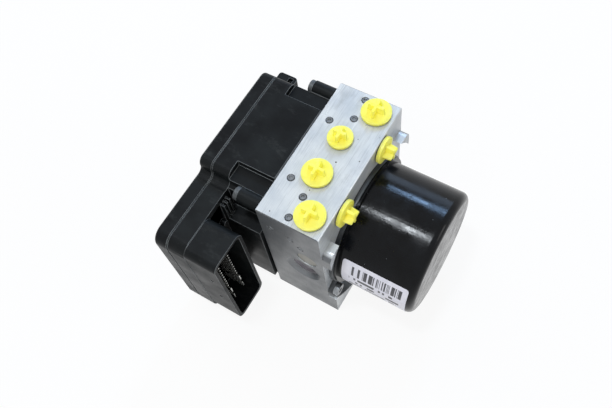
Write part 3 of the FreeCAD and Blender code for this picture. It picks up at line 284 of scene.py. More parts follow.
finishes = {
    "yellowPlastic": {
        "colour": shade(253, 240, 112), "second": shade(249, 234, 90), "patch": 180, "fine": 1400,
        "rough": (0.34, 0.50), "bump": 0.12, "depth": 0.0002, "Specular IOR Level": 0.30,
        "Subsurface Weight": 0.80, "Subsurface Scale": 0.006,
        "Subsurface Radius": (1.0, 0.94, 0.42),
        "dust": {"sizes": ((700, 0.02, 0.16),), "tint": shade(222, 206, 84)},
    },
    "sealRubber": {
        "colour": shade(30, 32, 33), "second": shade(44, 46, 47), "patch": 300, "fine": 1800,
        "rough": (0.42, 0.62), "bump": 0.15, "depth": 0.0002,
    },
    "plugSteel": {
        "colour": shade(128, 131, 134), "second": shade(104, 107, 110), "patch": 500, "fine": 2600,
        "rough": (0.28, 0.46), "bump": 0.20, "depth": 0.0002, "metal": 0.7,
    },
    "turnedAluminium": {
        "colour": shade(176, 179, 181), "second": shade(158, 161, 164), "patch": 220, "fine": 2200,
        "rough": (0.28, 0.44), "bump": 0.15, "depth": 0.0002, "metal": 0.6, "Anisotropic": 0.4,
    },
    # The damper plugs: a grey-brown, darker than the block around them
    "greyBrownPlug": {
        "colour": shade(142, 140, 132), "second": shade(124, 122, 115), "patch": 240, "fine": 2200,
        "rough": (0.34, 0.50), "bump": 0.16, "depth": 0.0002, "metal": 0.3,
        "Specular IOR Level": 0.3,
    },
    "greyPlug": {
        "colour": shade(112, 108, 114), "second": shade(92, 89, 95), "patch": 240, "fine": 2200,
        "rough": (0.26, 0.42), "bump": 0.14, "depth": 0.0002, "metal": 0.4,
        "Specular IOR Level": 0.4,
    },
    "hardSteel": {
        "colour": shade(140, 142, 145), "second": shade(118, 121, 124), "patch": 260, "fine": 2400,
        "rough": (0.16, 0.30), "bump": 0.08, "depth": 0.0001, "metal": 0.9,
    },
    "springSteel": {
        "colour": shade(112, 108, 104), "second": shade(88, 85, 82), "patch": 420, "fine": 3000,
        "rough": (0.25, 0.42), "bump": 0.12, "depth": 0.0001, "metal": 0.85,
    },
    "valveSteel": {
        "colour": shade(150, 152, 154), "second": shade(128, 131, 134), "patch": 300, "fine": 2600,
        "rough": (0.22, 0.38), "bump": 0.12, "depth": 0.0001, "metal": 0.8,
    },
    "coilCase": {
        "colour": shade(38, 40, 42), "second": shade(52, 54, 56), "patch": 240, "fine": 1700,
        "rough": (0.45, 0.60), "bump": 0.18, "depth": 0.0002,
    },
    "plateSteel": {
        "colour": shade(70, 73, 76), "second": shade(52, 55, 58), "patch": 260, "fine": 1500,
        "rough": (0.30, 0.48), "bump": 0.15, "depth": 0.0002, "metal": 0.5,
    },
    "ferrite": {
        "colour": shade(58, 58, 60), "second": shade(44, 44, 47), "patch": 500, "fine": 2200,
        "rough": (0.55, 0.75), "bump": 0.25, "depth": 0.0002,
    },
    "coreIron": {
        "colour": shade(96, 98, 102), "second": shade(72, 74, 78), "patch": 200, "fine": 1200,
        "rough": (0.35, 0.52), "bump": 0.35, "depth": 0.0003, "metal": 0.7, "stretch": (6, 1, 1),
    },
    "copperWire": {
        "colour": shade(196, 112, 64), "second": shade(150, 78, 42), "patch": 380, "fine": 900,
        "rough": (0.22, 0.40), "bump": 0.45, "depth": 0.0004, "metal": 0.8,
        "stretch": (1, 2.4, 2.4),
    },
    "commutatorCopper": {
        "colour": shade(204, 128, 82), "second": shade(176, 100, 62), "patch": 500, "fine": 2400,
        "rough": (0.20, 0.36), "bump": 0.15, "depth": 0.0001, "metal": 0.9,
    },
    "brushCarbon": {
        "colour": shade(46, 44, 44), "second": shade(62, 58, 55), "patch": 700, "fine": 2600,
        "rough": (0.50, 0.70), "bump": 0.22, "depth": 0.0002, "metal": 0.2,
    },
    "holderPlastic": {
        "colour": shade(60, 62, 60), "second": shade(48, 50, 49), "patch": 260, "fine": 1600,
        "rough": (0.42, 0.58), "bump": 0.14, "depth": 0.0002,
    },
    "zincSteel": {
        "colour": shade(150, 153, 156), "second": shade(122, 126, 130), "patch": 500, "fine": 2600,
        "rough": (0.24, 0.42), "bump": 0.18, "depth": 0.0002, "metal": 0.7,
    },
    "dullSteel": {
        "colour": shade(92, 95, 97), "second": shade(70, 73, 75), "patch": 500, "fine": 2600,
        "rough": (0.40, 0.58), "bump": 0.20, "depth": 0.0002, "metal": 0.4,
        "Specular IOR Level": 0.3,
    },
    "tinnedPin": {
        "colour": shade(214, 214, 208), "second": shade(190, 191, 188), "patch": 700, "fine": 3000,
        "rough": (0.18, 0.32), "bump": 0.10, "depth": 0.0001, "metal": 0.8,
    },
    "boardGreen": {
        "colour": shade(28, 82, 52), "second": shade(36, 98, 62), "patch": 420, "fine": 1800,
        "rough": (0.30, 0.46), "bump": 0.20, "depth": 0.0002,
        "dust": {"sizes": ((420, 0.22, 0.28),), "tint": shade(186, 176, 140)},
    },
    "gasketRubber": {
        "colour": shade(34, 35, 36), "second": shade(46, 47, 48), "patch": 260, "fine": 1700,
        "rough": (0.50, 0.68), "bump": 0.16, "depth": 0.0002,
    },
}
surfaces = {name: plainFinish(name, look) for name, look in finishes.items()}

# Cutter marks run along Y on the top and the long sides, and upright on the two ends; the two
# ends also take a painted shade, a darker tint on the faces turned along Y
aluminium = {
    "colour": shade(202, 206, 208), "second": shade(178, 183, 187), "metal": 0.28, "specular": 0.35,
    "clouds": {"scale": 70, "detail": 4.0}, "cloudSpan": (0.35, 0.65),
    "rough": (0.26, 0.44), "roughSpan": (0.3, 0.7),
    "longLines": {"scale": 2300, "detail": 2.0, "stretch": (1.0, 0.035, 1.0)},
    "endLines": {"scale": 2300, "detail": 2.0, "stretch": (1.0, 1.0, 0.035)},
    "fine": {"scale": 3200, "detail": 2.0},
    "lineHeight": 0.7, "fineHeight": 0.3, "bump": 0.16, "depth": 0.00012,
    "cutterMarks": {"span": (0.50, 0.74), "share": 0.60, "tint": shade(154, 158, 162)},
    "stains": {
        "noise": {"scale": 38, "detail": 6.0, "rough": 0.68,
                  "stretch": (1.0, 0.6, 1.0), "shift": (0.3, 0.1, 0.2)},
        "span": (0.57, 0.74), "share": 0.55, "tint": shade(132, 133, 130),
    },
    "scratches": {
        "noise": {"scale": 420, "detail": 3.0,
                  "stretch": (1.0, 0.06, 1.0), "turn": (0.0, 0.0, 0.9)},
        "span": (0.70, 0.74), "share": 0.5, "tint": shade(220, 223, 224),
    },
    "pits": {"sizes": ((130, 0.70, 0.060), (420, 0.07, 0.16)), "tint": shade(62, 60, 58)},
    # Painted shade on the two ends: the faces turned along Y take this darker tint
    "endFacing": (0.5, 0.7),
    "ends": {"span": (0.0, 1.0), "share": 0.80, "tint": shade(48, 50, 54)},
}


def machinedAluminium(name, look):
    surface, tree, shader = newFinish(name)
    normal = addNode(tree, "ShaderNodeTexCoord", {}).outputs["Normal"]
    split = addNode(tree, "ShaderNodeSeparateXYZ", {0: normal})
    onEnd = spread(tree, maths(tree, "ABSOLUTE", split.outputs["Y"]), *look["endFacing"])
    longLines = grain(tree, **look["longLines"])
    endLines = grain(tree, **look["endLines"])
    fine = grain(tree, **look["fine"])
    lines = blend(tree, onEnd, longLines, endLines, "FLOAT")
    colour, rough = clouded(tree, look)
    colour = tinted(tree, colour, look["cutterMarks"], lines)
    colour = tinted(tree, colour, look["stains"])
    colour = tinted(tree, colour, look["scratches"])
    colour = speckled(tree, colour, look["pits"])
    # Painted shade: the faces turned along Y, the two ends, are darkened
    colour = tinted(tree, colour, look["ends"], onEnd)
    height = weighed(tree, lines, look["lineHeight"], fine, look["fineHeight"])
    setInputs(tree, shader, {
        "Base Color": colour, "Roughness": rough, "Metallic": look["metal"],
        "Specular IOR Level": look["specular"], "Normal": raised(tree, height, look)})
    return surface


surfaces["machinedAluminium"] = machinedAluminium("machinedAluminium", aluminium)
# A lighter copy for the bevelled edges: a painted highlight along them, partly edge wear
surfaces["machinedAluminiumEdge"] = machinedAluminium("machinedAluminiumEdge", {
    **aluminium, "colour": shade(224, 226, 226), "second": shade(206, 208, 209),
    "pits": {**aluminium["pits"], "tint": shade(150, 150, 150)}})

# The can's paint: a haze, a slight peel and the lines left by the drawing tool
canPaint = {
    "colour": shade(9, 10, 12), "second": shade(15, 17, 20), "specular": 0.13,
    "clouds": {"scale": 90, "detail": 7.0, "rough": 0.7}, "cloudSpan": (0.40, 0.72),
    "rough": (0.09, 0.34), "roughSpan": (0.35, 0.75),
    "peel": {"scale": 620, "detail": 2.0},
    "drawn": {"scale": 900, "detail": 2.0, "stretch": (0.03, 1.0, 1.0)},
    "peelHeight": 0.6, "drawnHeight": 0.6, "bump": 0.24, "depth": 0.0002,
    "dust": {"sizes": ((260, 0.03, 0.08), (700, 0.015, 0.14)), "tint": shade(104, 108, 112)},
}


def glossBlack(look):
    surface, tree, shader = newFinish("glossBlack")
    colour, rough = clouded(tree, look)
    height = weighed(tree, grain(tree, **look["peel"]), look["peelHeight"],
                     grain(tree, **look["drawn"]), look["drawnHeight"])
    setInputs(tree, shader, {
        "Base Color": speckled(tree, colour, look["dust"]), "Roughness": rough,
        "Specular IOR Level": look["specular"], "Normal": raised(tree, height, look)})
    return surface


surfaces["glossBlack"] = glossBlack(canPaint)

mouldedBlack = {
    "colour": shade(12, 14, 16), "second": shade(22, 25, 26), "specular": 0.11,
    "clouds": {"scale": 55, "detail": 4.0}, "cloudSpan": (0.35, 0.68),
    "rough": (0.32, 0.50), "roughSpan": (0.3, 0.7),
    "fibre": {"scale": 1500, "detail": 3.0, "stretch": (1.0, 0.4, 1.0)},
    "bump": 0.14, "depth": 0.00018,
    "scuffs": {
        "noise": {"scale": 150, "detail": 8.0, "rough": 0.75,
                  "stretch": (0.5, 1.0, 0.7), "turn": (0.3, 0.2, 0.7)},
        "span": (0.54, 0.76), "share": 0.42, "tint": shade(64, 66, 66),
    },
}


def blackPlastic(name, look):
    surface, tree, shader = newFinish(name)
    colour, rough = clouded(tree, look)
    setInputs(tree, shader, {
        "Base Color": tinted(tree, colour, look["scuffs"]), "Roughness": rough,
        "Specular IOR Level": look["specular"],
        "Normal": raised(tree, grain(tree, **look["fibre"]), look)})
    return surface


surfaces["blackPlastic"] = blackPlastic("blackPlastic", mouldedBlack)
# A far lighter copy for the bevelled edges: a painted highlight along them, partly edge wear
surfaces["blackPlasticEdge"] = blackPlastic("blackPlasticEdge", {
    **mouldedBlack, "colour": shade(106, 109, 110), "second": shade(70, 73, 75)})
print("finishes:", len(surfaces))


# Mesh helpers. Widths, depths and radii are in millimetres, places in metres, angles in degrees.

mergeGap = 0.002
flatAngle = 0.4
facing = 0.9   # how squarely a face has to look along an axis to count as turned that way


def objectMode():
    bpy.ops.object.mode_set(mode="OBJECT")


def editAll():
    bpy.ops.object.mode_set(mode="EDIT")
    bpy.ops.mesh.select_all(action="SELECT")


def deselect():
    if bpy.context.object and bpy.context.object.mode != "OBJECT":
        objectMode()
    bpy.ops.object.select_all(action="DESELECT")


def only(piece):
    deselect()
    piece.select_set(True)
    bpy.context.view_layer.objects.active = piece


def dress(piece, *finishNames):
    # Clearing puts every face back on the first finish
    piece.data.materials.clear()
    for finishName in finishNames:
        piece.data.materials.append(surfaces[finishName])


def seat(piece, nodeName):
    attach(piece, "module")
    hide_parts(nodeName)


def applied(piece, kind, **settings):
    only(piece)
    modifier = piece.modifiers.new(kind.lower(), kind)
    for key, value in settings.items():
        setattr(modifier, key, value)
    bpy.ops.object.modifier_apply(modifier=modifier.name)


def mergeFlats(piece):
    # Joins loose triangles and makes each flat one face
    only(piece)
    editAll()
    bpy.ops.mesh.remove_doubles(threshold=mergeGap * mm)
    bpy.ops.mesh.dissolve_limited(angle_limit=flatAngle * degree)
    objectMode()


def merged(nodeName, pieceName):
    # A copy of a node's mesh, merged
    piece = bpy.data.objects.new(pieceName, nodes[nodeName].data.copy())
    bpy.context.collection.objects.link(piece)
    mergeFlats(piece)
    return piece


def boxOf(points):
    return [Vector(map(kind, zip(*points))) for kind in (min, max)]


def nodeBox(nodeName):
    return [Vector(corner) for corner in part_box(nodeName)]


def soften(piece, width, segments=2, angle=32, finish=-1, clamp=True):
    # Bevels the sharp edges. Unclamped, the points that overlapping bevels throw off the form come
    # back to its surface and its box.
    if not clamp:
        piece.data.calc_loop_triangles()
        points = [point.co.copy() for point in piece.data.vertices]
        triangles = [tuple(face.vertices) for face in piece.data.loop_triangles]
        shape = BVHTree.FromPolygons(points, triangles)
        low, high = boxOf(points)
    applied(piece, "BEVEL", width=width * mm, segments=segments, limit_method="ANGLE",
            angle_limit=angle * degree, miter_outer="MITER_ARC", material=finish,
            use_clamp_overlap=clamp)
    if not clamp:
        for point in piece.data.vertices:
            spot, _, _, gap = shape.find_nearest(point.co)
            if gap > width * mm:
                point.co = spot
            point.co = Vector(min(max(v, a), b) for v, a, b in zip(point.co, low, high))


def roundCorners(piece, width, segments, test):
    # A larger rounding of the edges that pass the test, given their two ends
    points = piece.data.vertices
    weights = piece.data.attributes.new("bevel_weight_edge", "FLOAT", "EDGE")
    for i, edge in enumerate(piece.data.edges):
        weights.data[i].value = float(test(*[points[end].co for end in edge.vertices]))
    applied(piece, "BEVEL", width=width * mm, segments=segments, limit_method="WEIGHT")
    left = piece.data.attributes.get("bevel_weight_edge")
    if left:
        piece.data.attributes.remove(left)


def smooth(piece, angle=30):
    # Smooth by angle, with the large faces keeping their own direction
    only(piece)
    bpy.ops.object.shade_smooth_by_angle(angle=angle * degree)
    applied(piece, "WEIGHTED_NORMAL", keep_sharp=True)


def pick(piece, test):
    # Leaves edit mode on, with only the faces that pass the test selected
    only(piece)
    bpy.ops.object.mode_set(mode="EDIT")
    bpy.ops.mesh.select_mode(type="FACE")
    bpy.ops.mesh.select_all(action="DESELECT")
    objectMode()
    for face in piece.data.polygons:
        face.select = test(face)
    bpy.ops.object.mode_set(mode="EDIT")


def looksUp(face):
    return face.normal.z > facing


def insetFaces(piece, test, inward, depth):
    # One inset of the chosen faces, sunk or lifted
    pick(piece, test)
    bpy.ops.mesh.inset(thickness=inward * mm, depth=depth * mm)
    objectMode()


def drawDown(piece, *moves):
    # The bottom face, narrowed and drawn down once for each pair of lengths
    pick(piece, lambda face: face.normal.z < -facing)
    for inward, drop in moves:
        bpy.ops.mesh.inset(thickness=inward * mm)
        bpy.ops.mesh.extrude_region_move(TRANSFORM_OT_translate={"value": (0, 0, -drop * mm)})
    objectMode()


def addRound(name, radius, low, high, sides):
    # A cylinder along Z between two heights
    deselect()
    bpy.ops.mesh.primitive_cylinder_add(
        vertices=sides, radius=radius * mm, depth=(high - low) * mm,
        location=(0, 0, (low + high) / 2 * mm))
    piece = bpy.context.object
    piece.name = name
    bpy.ops.object.transform_apply(location=True, rotation=True, scale=True)
    return piece


def combine(piece, tool, kind):
    applied(piece, "BOOLEAN", object=tool, operation=kind, solver="EXACT")
    bpy.data.objects.remove(tool)


def copyAt(piece, name, place, axis):
    # A copy with its own mesh whose +Z points along the axis
    copy = bpy.data.objects.new(name, piece.data.copy())
    bpy.context.collection.objects.link(copy)
    turn = Vector((0, 0, 1)).rotation_difference(Vector(axis)).to_matrix().to_4x4()
    copy.data.transform(Matrix.Translation(place) @ turn)
    return copy


def joined(pieces, name):
    deselect()
    for piece in pieces:
        piece.select_set(True)
    bpy.context.view_layer.objects.active = pieces[0]
    bpy.ops.object.join()
    pieces[0].name = name
    return pieces[0]


def solidsOf(nodeName):
    # The lowest and highest corner of each separate solid in a node
    probe = merged(nodeName, "probe")
    points = [point.co.copy() for point in probe.data.vertices]
    root = list(range(len(points)))

    def rootOf(i):
        while root[i] != i:
            root[i] = root[root[i]]
            i = root[i]
        return i

    for edge in probe.data.edges:
        root[rootOf(edge.vertices[0])] = rootOf(edge.vertices[1])
    groups = {}
    for i, point in enumerate(points):
        groups.setdefault(rootOf(i), []).append(point)
    bpy.data.objects.remove(probe)
    return sorted((boxOf(group) for group in groups.values()), key=lambda box: tuple(box[0]))


# Pieces that keep their node's form, with softened edges: name, finish, edge and slot
edged = {
    "hydraulic_block": ("valveBlock", "machinedAluminium", 0.30, "machined_aluminium"),
    "motor_can": ("motorCan", "glossBlack", 0.0, "black_paint"),
    "motor_end_plate": ("motorEndPlate", "plateSteel", 0.25, "plate_steel"),
    "ecu_housing": ("unitHousing", "blackPlastic", 0.26, "black_plastic"),
    "ecu_lid": ("unitLid", "blackPlastic", 0.26, "black_lid"),
    "ecu_gasket": ("unitGasket", "gasketRubber", 0.15, "black_rubber"),
    "connector_pins": ("socketPins", "tinnedPin", 0.15, "tinned_contact"),
    "plug_seal_rings": ("plugSealRings", "sealRubber", 0.15, "black_rubber"),
    "damper_plugs": ("damperPlugs", "greyBrownPlug", 0.2, "turned_aluminium"),
    "pump_plug_front": ("pumpPlugFront", "greyPlug", 0.2, "turned_aluminium"),
    "pump_plug_back": ("pumpPlugBack", "greyPlug", 0.2, "turned_aluminium"),
    "accumulator_cover_front": ("storeCoverFront", "turnedAluminium", 0.2, "turned_aluminium"),
    "accumulator_cover_back": ("storeCoverBack", "turnedAluminium", 0.2, "turned_aluminium"),
}
# The housing's ejector marks lie between these depths. The lid's latch stands on its far face.
unitDetails = {
    "markShallow": 0.14, "markDeep": 0.16,
    "latchRound": 1.8, "latchSegments": 4, "latchSlack": 0.05, "latchRise": 3.0,
}


def flattenMarks(piece, look):
    # Brings the shallow marks up to the face round them
    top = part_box("ecu_housing")[1][2]
    for point in piece.data.vertices:
        if look["markShallow"] * mm < top - point.co.z < look["markDeep"] * mm:
            point.co.z = top
    mergeFlats(piece)


def roundLatch(piece, look):
    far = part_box("ecu_lid")[1][1] - look["latchSlack"] * mm
    roundCorners(piece, look["latchRound"], look["latchSegments"], lambda a, b: (
        min(a.y, b.y) > far and abs(a.z - b.z) > look["latchRise"] * mm))


def standIn(nodeName, pieceName, finishName, edge):
    piece = merged(nodeName, pieceName)
    # Where a lighter edge finish exists, the bevels take it: a painted highlight, partly edge wear
    edgeHighlightAndWear = finishName + "Edge" in surfaces
    dress(piece, finishName, *([finishName + "Edge"] if edgeHighlightAndWear else []))
    if nodeName == "ecu_housing":
        flattenMarks(piece, unitDetails)
    if nodeName == "ecu_lid":
        roundLatch(piece, unitDetails)
    if edge:
        soften(piece, edge, finish=1 if edgeHighlightAndWear else -1, clamp=finishName != "blackPlastic")
    smooth(piece)
    seat(piece, nodeName)


for nodeName, (pieceName, finishName, edge, slot) in edged.items():
    standIn(nodeName, pieceName, finishName, edge)
print("softened pieces:", len(edged))

# Shipping plugs: a shank, a washer, a crowned disc and a raised cross to turn it by
shippingPlug = {
    "discThick": 1.1, "discLift": 1.6, "sides": 72, "washer": 1.0, "washerIn": 0.10, "rim": 0.5,
    "shankLength": 9.0, "shankShare": 0.637, "crownIn": 1.4, "crownLift": 0.35,
    "crownRoom": 1.0, "spanShare": 0.62, "wing": 2.0, "wingTop": 0.86, "wingSlack": 0.1,
    "wingSunk": 0.5, "wingSoft": 0.45, "soft": 0.18,
    "nodes": {
        "brake_port_plug_front_outer": "portPlugFrontOuter",
        "brake_port_plug_front_inner": "portPlugFrontInner",
        "brake_port_plug_back_inner": "portPlugBackInner",
        "brake_port_plug_back_outer": "portPlugBackOuter",
        "master_port_plug_front": "supplyPlugFront",
        "master_port_plug_back": "supplyPlugBack",
    },
}


def addCross(look, span, low, high):
    # A square post whose four sides are drawn out into arms
    deselect()
    width = look["wing"]
    bpy.ops.mesh.primitive_cube_add(
        size=1, location=(0, 0, (low + high) / 2 * mm),
        scale=(width * mm, width * mm, (high - low) * mm))
    cross = bpy.context.object
    bpy.ops.object.transform_apply(location=True, rotation=True, scale=True)
    slack = width * look["wingSlack"] * mm
    for arm in (Vector((1, 0, 0)), Vector((0, 1, 0)), Vector((-1, 0, 0)), Vector((0, -1, 0))):
        pick(cross, lambda face: face.normal.dot(arm) > facing
             and abs(face.center.x * arm.y - face.center.y * arm.x) < slack)
        bpy.ops.mesh.extrude_region_move(
            TRANSFORM_OT_translate={"value": arm * (span - width) / 2 * mm})
        objectMode()
    pick(cross, looksUp)
    bpy.ops.transform.resize(
        value=(look["wingTop"], look["wingTop"], 1), center_override=(0, 0, high * mm))
    objectMode()
    soften(cross, look["wingSoft"], segments=3, angle=40)
    return cross


def modelPlug(look, radius, height):
    low = look["discLift"]
    high = low + look["discThick"]
    shank = radius * look["shankShare"]
    plug = addRound("shippingPlug", radius, low, high, look["sides"])
    drawDown(plug, (look["washerIn"], look["washer"]),
             (radius - look["washerIn"] - shank, look["shankLength"] + low - look["washer"]))
    insetFaces(plug, looksUp, look["rim"], 0)
    large = ((radius - look["crownRoom"]) * mm) ** 2
    insetFaces(plug, lambda face: looksUp(face) and face.area > large,
               look["crownIn"], look["crownLift"])
    cross = addCross(look, 2 * radius * look["spanShare"], high - look["wingSunk"], height)
    combine(plug, cross, "UNION")
    soften(plug, look["soft"], angle=50)
    smooth(plug, angle=40)
    dress(plug, "yellowPlastic")
    return plug


plugModels = {}
for nodeName, pieceName in shippingPlug["nodes"].items():
    low, high = nodeBox(nodeName)
    size = high - low
    # The brake ports look up, the others along +X
    along, beside = (2, 0) if nodeName.startswith("brake") else (0, 1)
    across = size[beside]
    stands = size[along] / mm - shippingPlug["shankLength"]
    key = round(across, 5)   # plugs of one width share a model
    if key not in plugModels:
        plugModels[key] = modelPlug(shippingPlug, across / 2 / mm, stands)
    middle = (low + high) / 2
    middle[along] = low[along] + shippingPlug["shankLength"] * mm
    axis = [float(i == along) for i in range(3)]
    seat(copyAt(plugModels[key], pieceName, middle, axis), nodeName)
for model in plugModels.values():
    bpy.data.objects.remove(model)
print("shipping plugs:", len(shippingPlug["nodes"]))

# Staked seals of the cross drillings: a sunk ring, a collar and a pit
stakedSeal = {
    "radius": 2.2, "sides": 40, "lift": 0.35, "lip": 0.10, "grooveWidth": 0.30, "groove": -0.32,
    "collarRise": 0.50, "collarIn": 0.22, "flat": 0.55, "pitIn": 0.18, "pit": -0.55,
}


def modelSeal(look, depth):
    seal = addRound("stakedSeal", look["radius"], -depth, 0, look["sides"])
    for inward, move in ((look["lip"], 0), (look["grooveWidth"], look["groove"]),
                         (look["collarIn"], look["collarRise"]), (look["flat"], 0),
                         (look["pitIn"], look["pit"])):
        top = max(seal.data.polygons, key=lambda face: looksUp(face) * face.area).index
        insetFaces(seal, lambda face: face.index == top, inward, move)
    dress(seal, "plugSteel")
    only(seal)
    bpy.ops.object.shade_smooth_by_angle(angle=35 * degree)
    return seal


sealBoxes = solidsOf("cross_drilling_seals")
sealModel = modelSeal(stakedSeal, min(sealBoxes[0][1] - sealBoxes[0][0]) / mm - stakedSeal["lift"])
seals = []
for low, high in sealBoxes:
    size = high - low
    if size.z < size.y:
        axis = Vector((0, 0, 1))
        level = high.z
    else:
        axis = Vector((0, 1 if high.y > 0 else -1, 0))
        level = max(high.y, -low.y)
    middle = (low + high) / 2
    middle += axis * (level - stakedSeal["lift"] * mm - middle.dot(axis))
    seals.append(copyAt(sealModel, "seal", middle, axis))
bpy.data.objects.remove(sealModel)
seat(joined(seals, "drillingSeals"), "cross_drilling_seals")
print("staked seals:", len(seals))

# Screws: a pan head with a six-pointed drive, on a plain shank
panScrew = {
    "lobes": 6, "sides": 48, "driveShare": 0.52, "driveDepth": 1.7, "driveOver": 1.0,
    "driveIn": 0.74, "crown": 0.45, "soft": 0.10,
    "nodes": {
        "motor_screws": {
            "piece": "motorScrews", "side": 1, "height": 3.2, "shank": 2.5, "finish": "zincSteel",
        },
        "ecu_screws": {
            "piece": "unitScrews", "side": -1, "height": 2.6, "shank": 2.3, "finish": "dullSteel",
        },
    },
}


def modelScrew(look, head, height, shank, length):
    screw = addRound("panScrew", head, 0, height, look["sides"])
    drawDown(screw, (head - shank, length))
    pick(screw, looksUp)
    bpy.ops.mesh.bevel(offset=look["crown"] * mm, segments=3, affect="EDGES")
    objectMode()
    drive = addRound("drive", head * look["driveShare"], height - look["driveDepth"],
                     height + look["driveOver"], 2 * look["lobes"])
    for point in drive.data.vertices:
        sector = round(math.atan2(point.co.y, point.co.x) / math.pi * look["lobes"])
        if sector % 2:
            point.co.x *= look["driveIn"]
            point.co.y *= look["driveIn"]
    combine(screw, drive, "DIFFERENCE")
    soften(screw, look["soft"], angle=40)
    smooth(screw, angle=35)
    return screw


for nodeName, look in panScrew["nodes"].items():
    boxes = solidsOf(nodeName)
    size = boxes[0][1] - boxes[0][0]
    side, height = look["side"], look["height"]
    model = modelScrew(panScrew, size.y / 2 / mm, height, look["shank"], size.x / mm - height)
    screws = []
    for low, high in boxes:
        middle = (low + high) / 2
        middle.x = (high.x if side > 0 else low.x) - side * height * mm
        screws.append(copyAt(model, "screw", middle, (side, 0, 0)))
    bpy.data.objects.remove(model)
    screwSet = joined(screws, look["piece"])
    dress(screwSet, look["finish"])
    seat(screwSet, nodeName)
print("screws placed")

# Inner pieces keep their nodes and take a finish
inside = {
    "accumulator_piston": "turnedAluminium", "accumulator_spring": "springSteel",
    "pump_piston": "hardSteel", "pump_spring": "springSteel", "valve_": "valveSteel",
    "coil_": "coilCase", "magnet_": "ferrite", "armature_core": "coreIron",
    "armature_windings": "copperWire", "commutator": "commutatorCopper",
    "brush_front": "brushCarbon", "brush_back": "brushCarbon", "brush_holder": "holderPlastic",
    "cam_ring": "hardSteel", "motor_shaft": "hardSteel", "front_bearing": "hardSteel",
    "rear_bearing": "hardSteel",
    "motor_lead_stalk": "holderPlastic", "circuit_board": "boardGreen",
}
for nodeName, item in nodes.items():
    chosen = [name for start, name in inside.items() if nodeName.startswith(start)]
    surface = surfaces[chosen[0] if chosen else "plugSteel"]
    for materialSlot in item.material_slots:
        materialSlot.material = surface
    if not item.material_slots:
        item.data.materials.append(surface)
print("inner pieces finished")

# Accumulator springs keep their nodes' form: the lower end stands on its cover, under the piston
storeSpring = {
    "travel": 5.5,
    "nodes": {
        "accumulator_spring_front": ("storeSpringFront", "accumulator_stroke_front"),
        "accumulator_spring_back": ("storeSpringBack", "accumulator_stroke_back"),
    },
}
for nodeName, (pieceName, joint) in storeSpring["nodes"].items():
    spring = merged(nodeName, pieceName)
    smooth(spring, angle=60)
    dress(spring, "springSteel")
    seat(spring, nodeName)
    low, high = nodeBox(nodeName)
    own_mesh(spring)
print("accumulator springs:", len(storeSpring["nodes"]))

# The label on the can: a bent sheet with rounded corners and rows of plain bars. Each row has its
# shares of the sheet's height and length, its cells, their seed and the share that is inked.
sticker = {
    "axisZ": 45.0, "radius": 37.28, "thick": 0.10, "x": (22.15, 61.65), "angles": (153.0, 200.0),
    "corner": 1.6, "cornerCuts": 5, "sides": 240, "mergeGap": 0.001,
    "colour": shade(226, 225, 233), "second": shade(214, 213, 223), "ink": shade(58, 58, 64),
    "clouds": {"scale": 160, "detail": 3.0}, "cloudSpan": (0.35, 0.65),
    "fine": {"scale": 1500, "detail": 2.0}, "rough": (0.30, 0.42), "roughSpan": (0.3, 0.7),
    "bump": 0.06, "depth": 0.0001,
    "rows": (
        ((0.10, 0.36), (0.15, 0.92), 118.0, 5.5, 0.56),
        ((0.42, 0.50), (0.12, 0.80), 31.0, 11.5, 0.72),
        ((0.56, 0.64), (0.18, 0.52), 27.0, 23.5, 0.72),
        ((0.56, 0.64), (0.70, 0.90), 27.0, 37.5, 0.72),
        ((0.70, 0.77), (0.10, 0.86), 35.0, 41.5, 0.72),
        ((0.84, 0.90), (0.14, 0.66), 33.0, 57.5, 0.72),
    ),
}


def stickerFinish(look):
    surface, tree, shader = newFinish("stickerPaper")
    spot = addNode(tree, "ShaderNodeTexCoord", {}).outputs["Object"]
    split = addNode(tree, "ShaderNodeSeparateXYZ", {0: spot})
    along = spread(tree, split.outputs["X"], *[x * mm for x in look["x"]])
    lifted = maths(tree, "SUBTRACT", split.outputs["Z"], look["axisZ"] * mm)
    turned = maths(tree, "ARCTAN2", lifted, split.outputs["Y"])
    turned = maths(tree, "MODULO", maths(tree, "ADD", turned, 2 * math.pi), 2 * math.pi)
    down = spread(tree, turned, *[angle * degree for angle in look["angles"]])

    def band(value, low, high):
        return maths(tree, "MULTIPLY", maths(tree, "GREATER_THAN", value, low),
                     maths(tree, "LESS_THAN", value, high))

    def row(height, length, count, seed, share):
        cell = maths(tree, "FLOOR", maths(tree, "MULTIPLY", along, count))
        noise = addNode(tree, "ShaderNodeTexWhiteNoise", {
            "W": maths(tree, "ADD", cell, seed)}, noise_dimensions="1D")
        inked = maths(tree, "LESS_THAN", noise.outputs["Value"], share)
        within = maths(tree, "MULTIPLY", band(down, *height), band(along, *length))
        return maths(tree, "MULTIPLY", within, inked)

    clouds = grain(tree, **look["clouds"])
    paper = blend(tree, spread(tree, clouds, *look["cloudSpan"]), look["colour"], look["second"])
    fine = grain(tree, **look["fine"])
    ink = highest(tree, [row(*values) for values in look["rows"]])
    setInputs(tree, shader, {
        "Base Color": blend(tree, ink, paper, look["ink"]),
        "Roughness": spread(tree, fine, *look["roughSpan"], *look["rough"]),
        "Normal": raised(tree, fine, look)})
    return surface


surfaces["stickerPaper"] = stickerFinish(sticker)


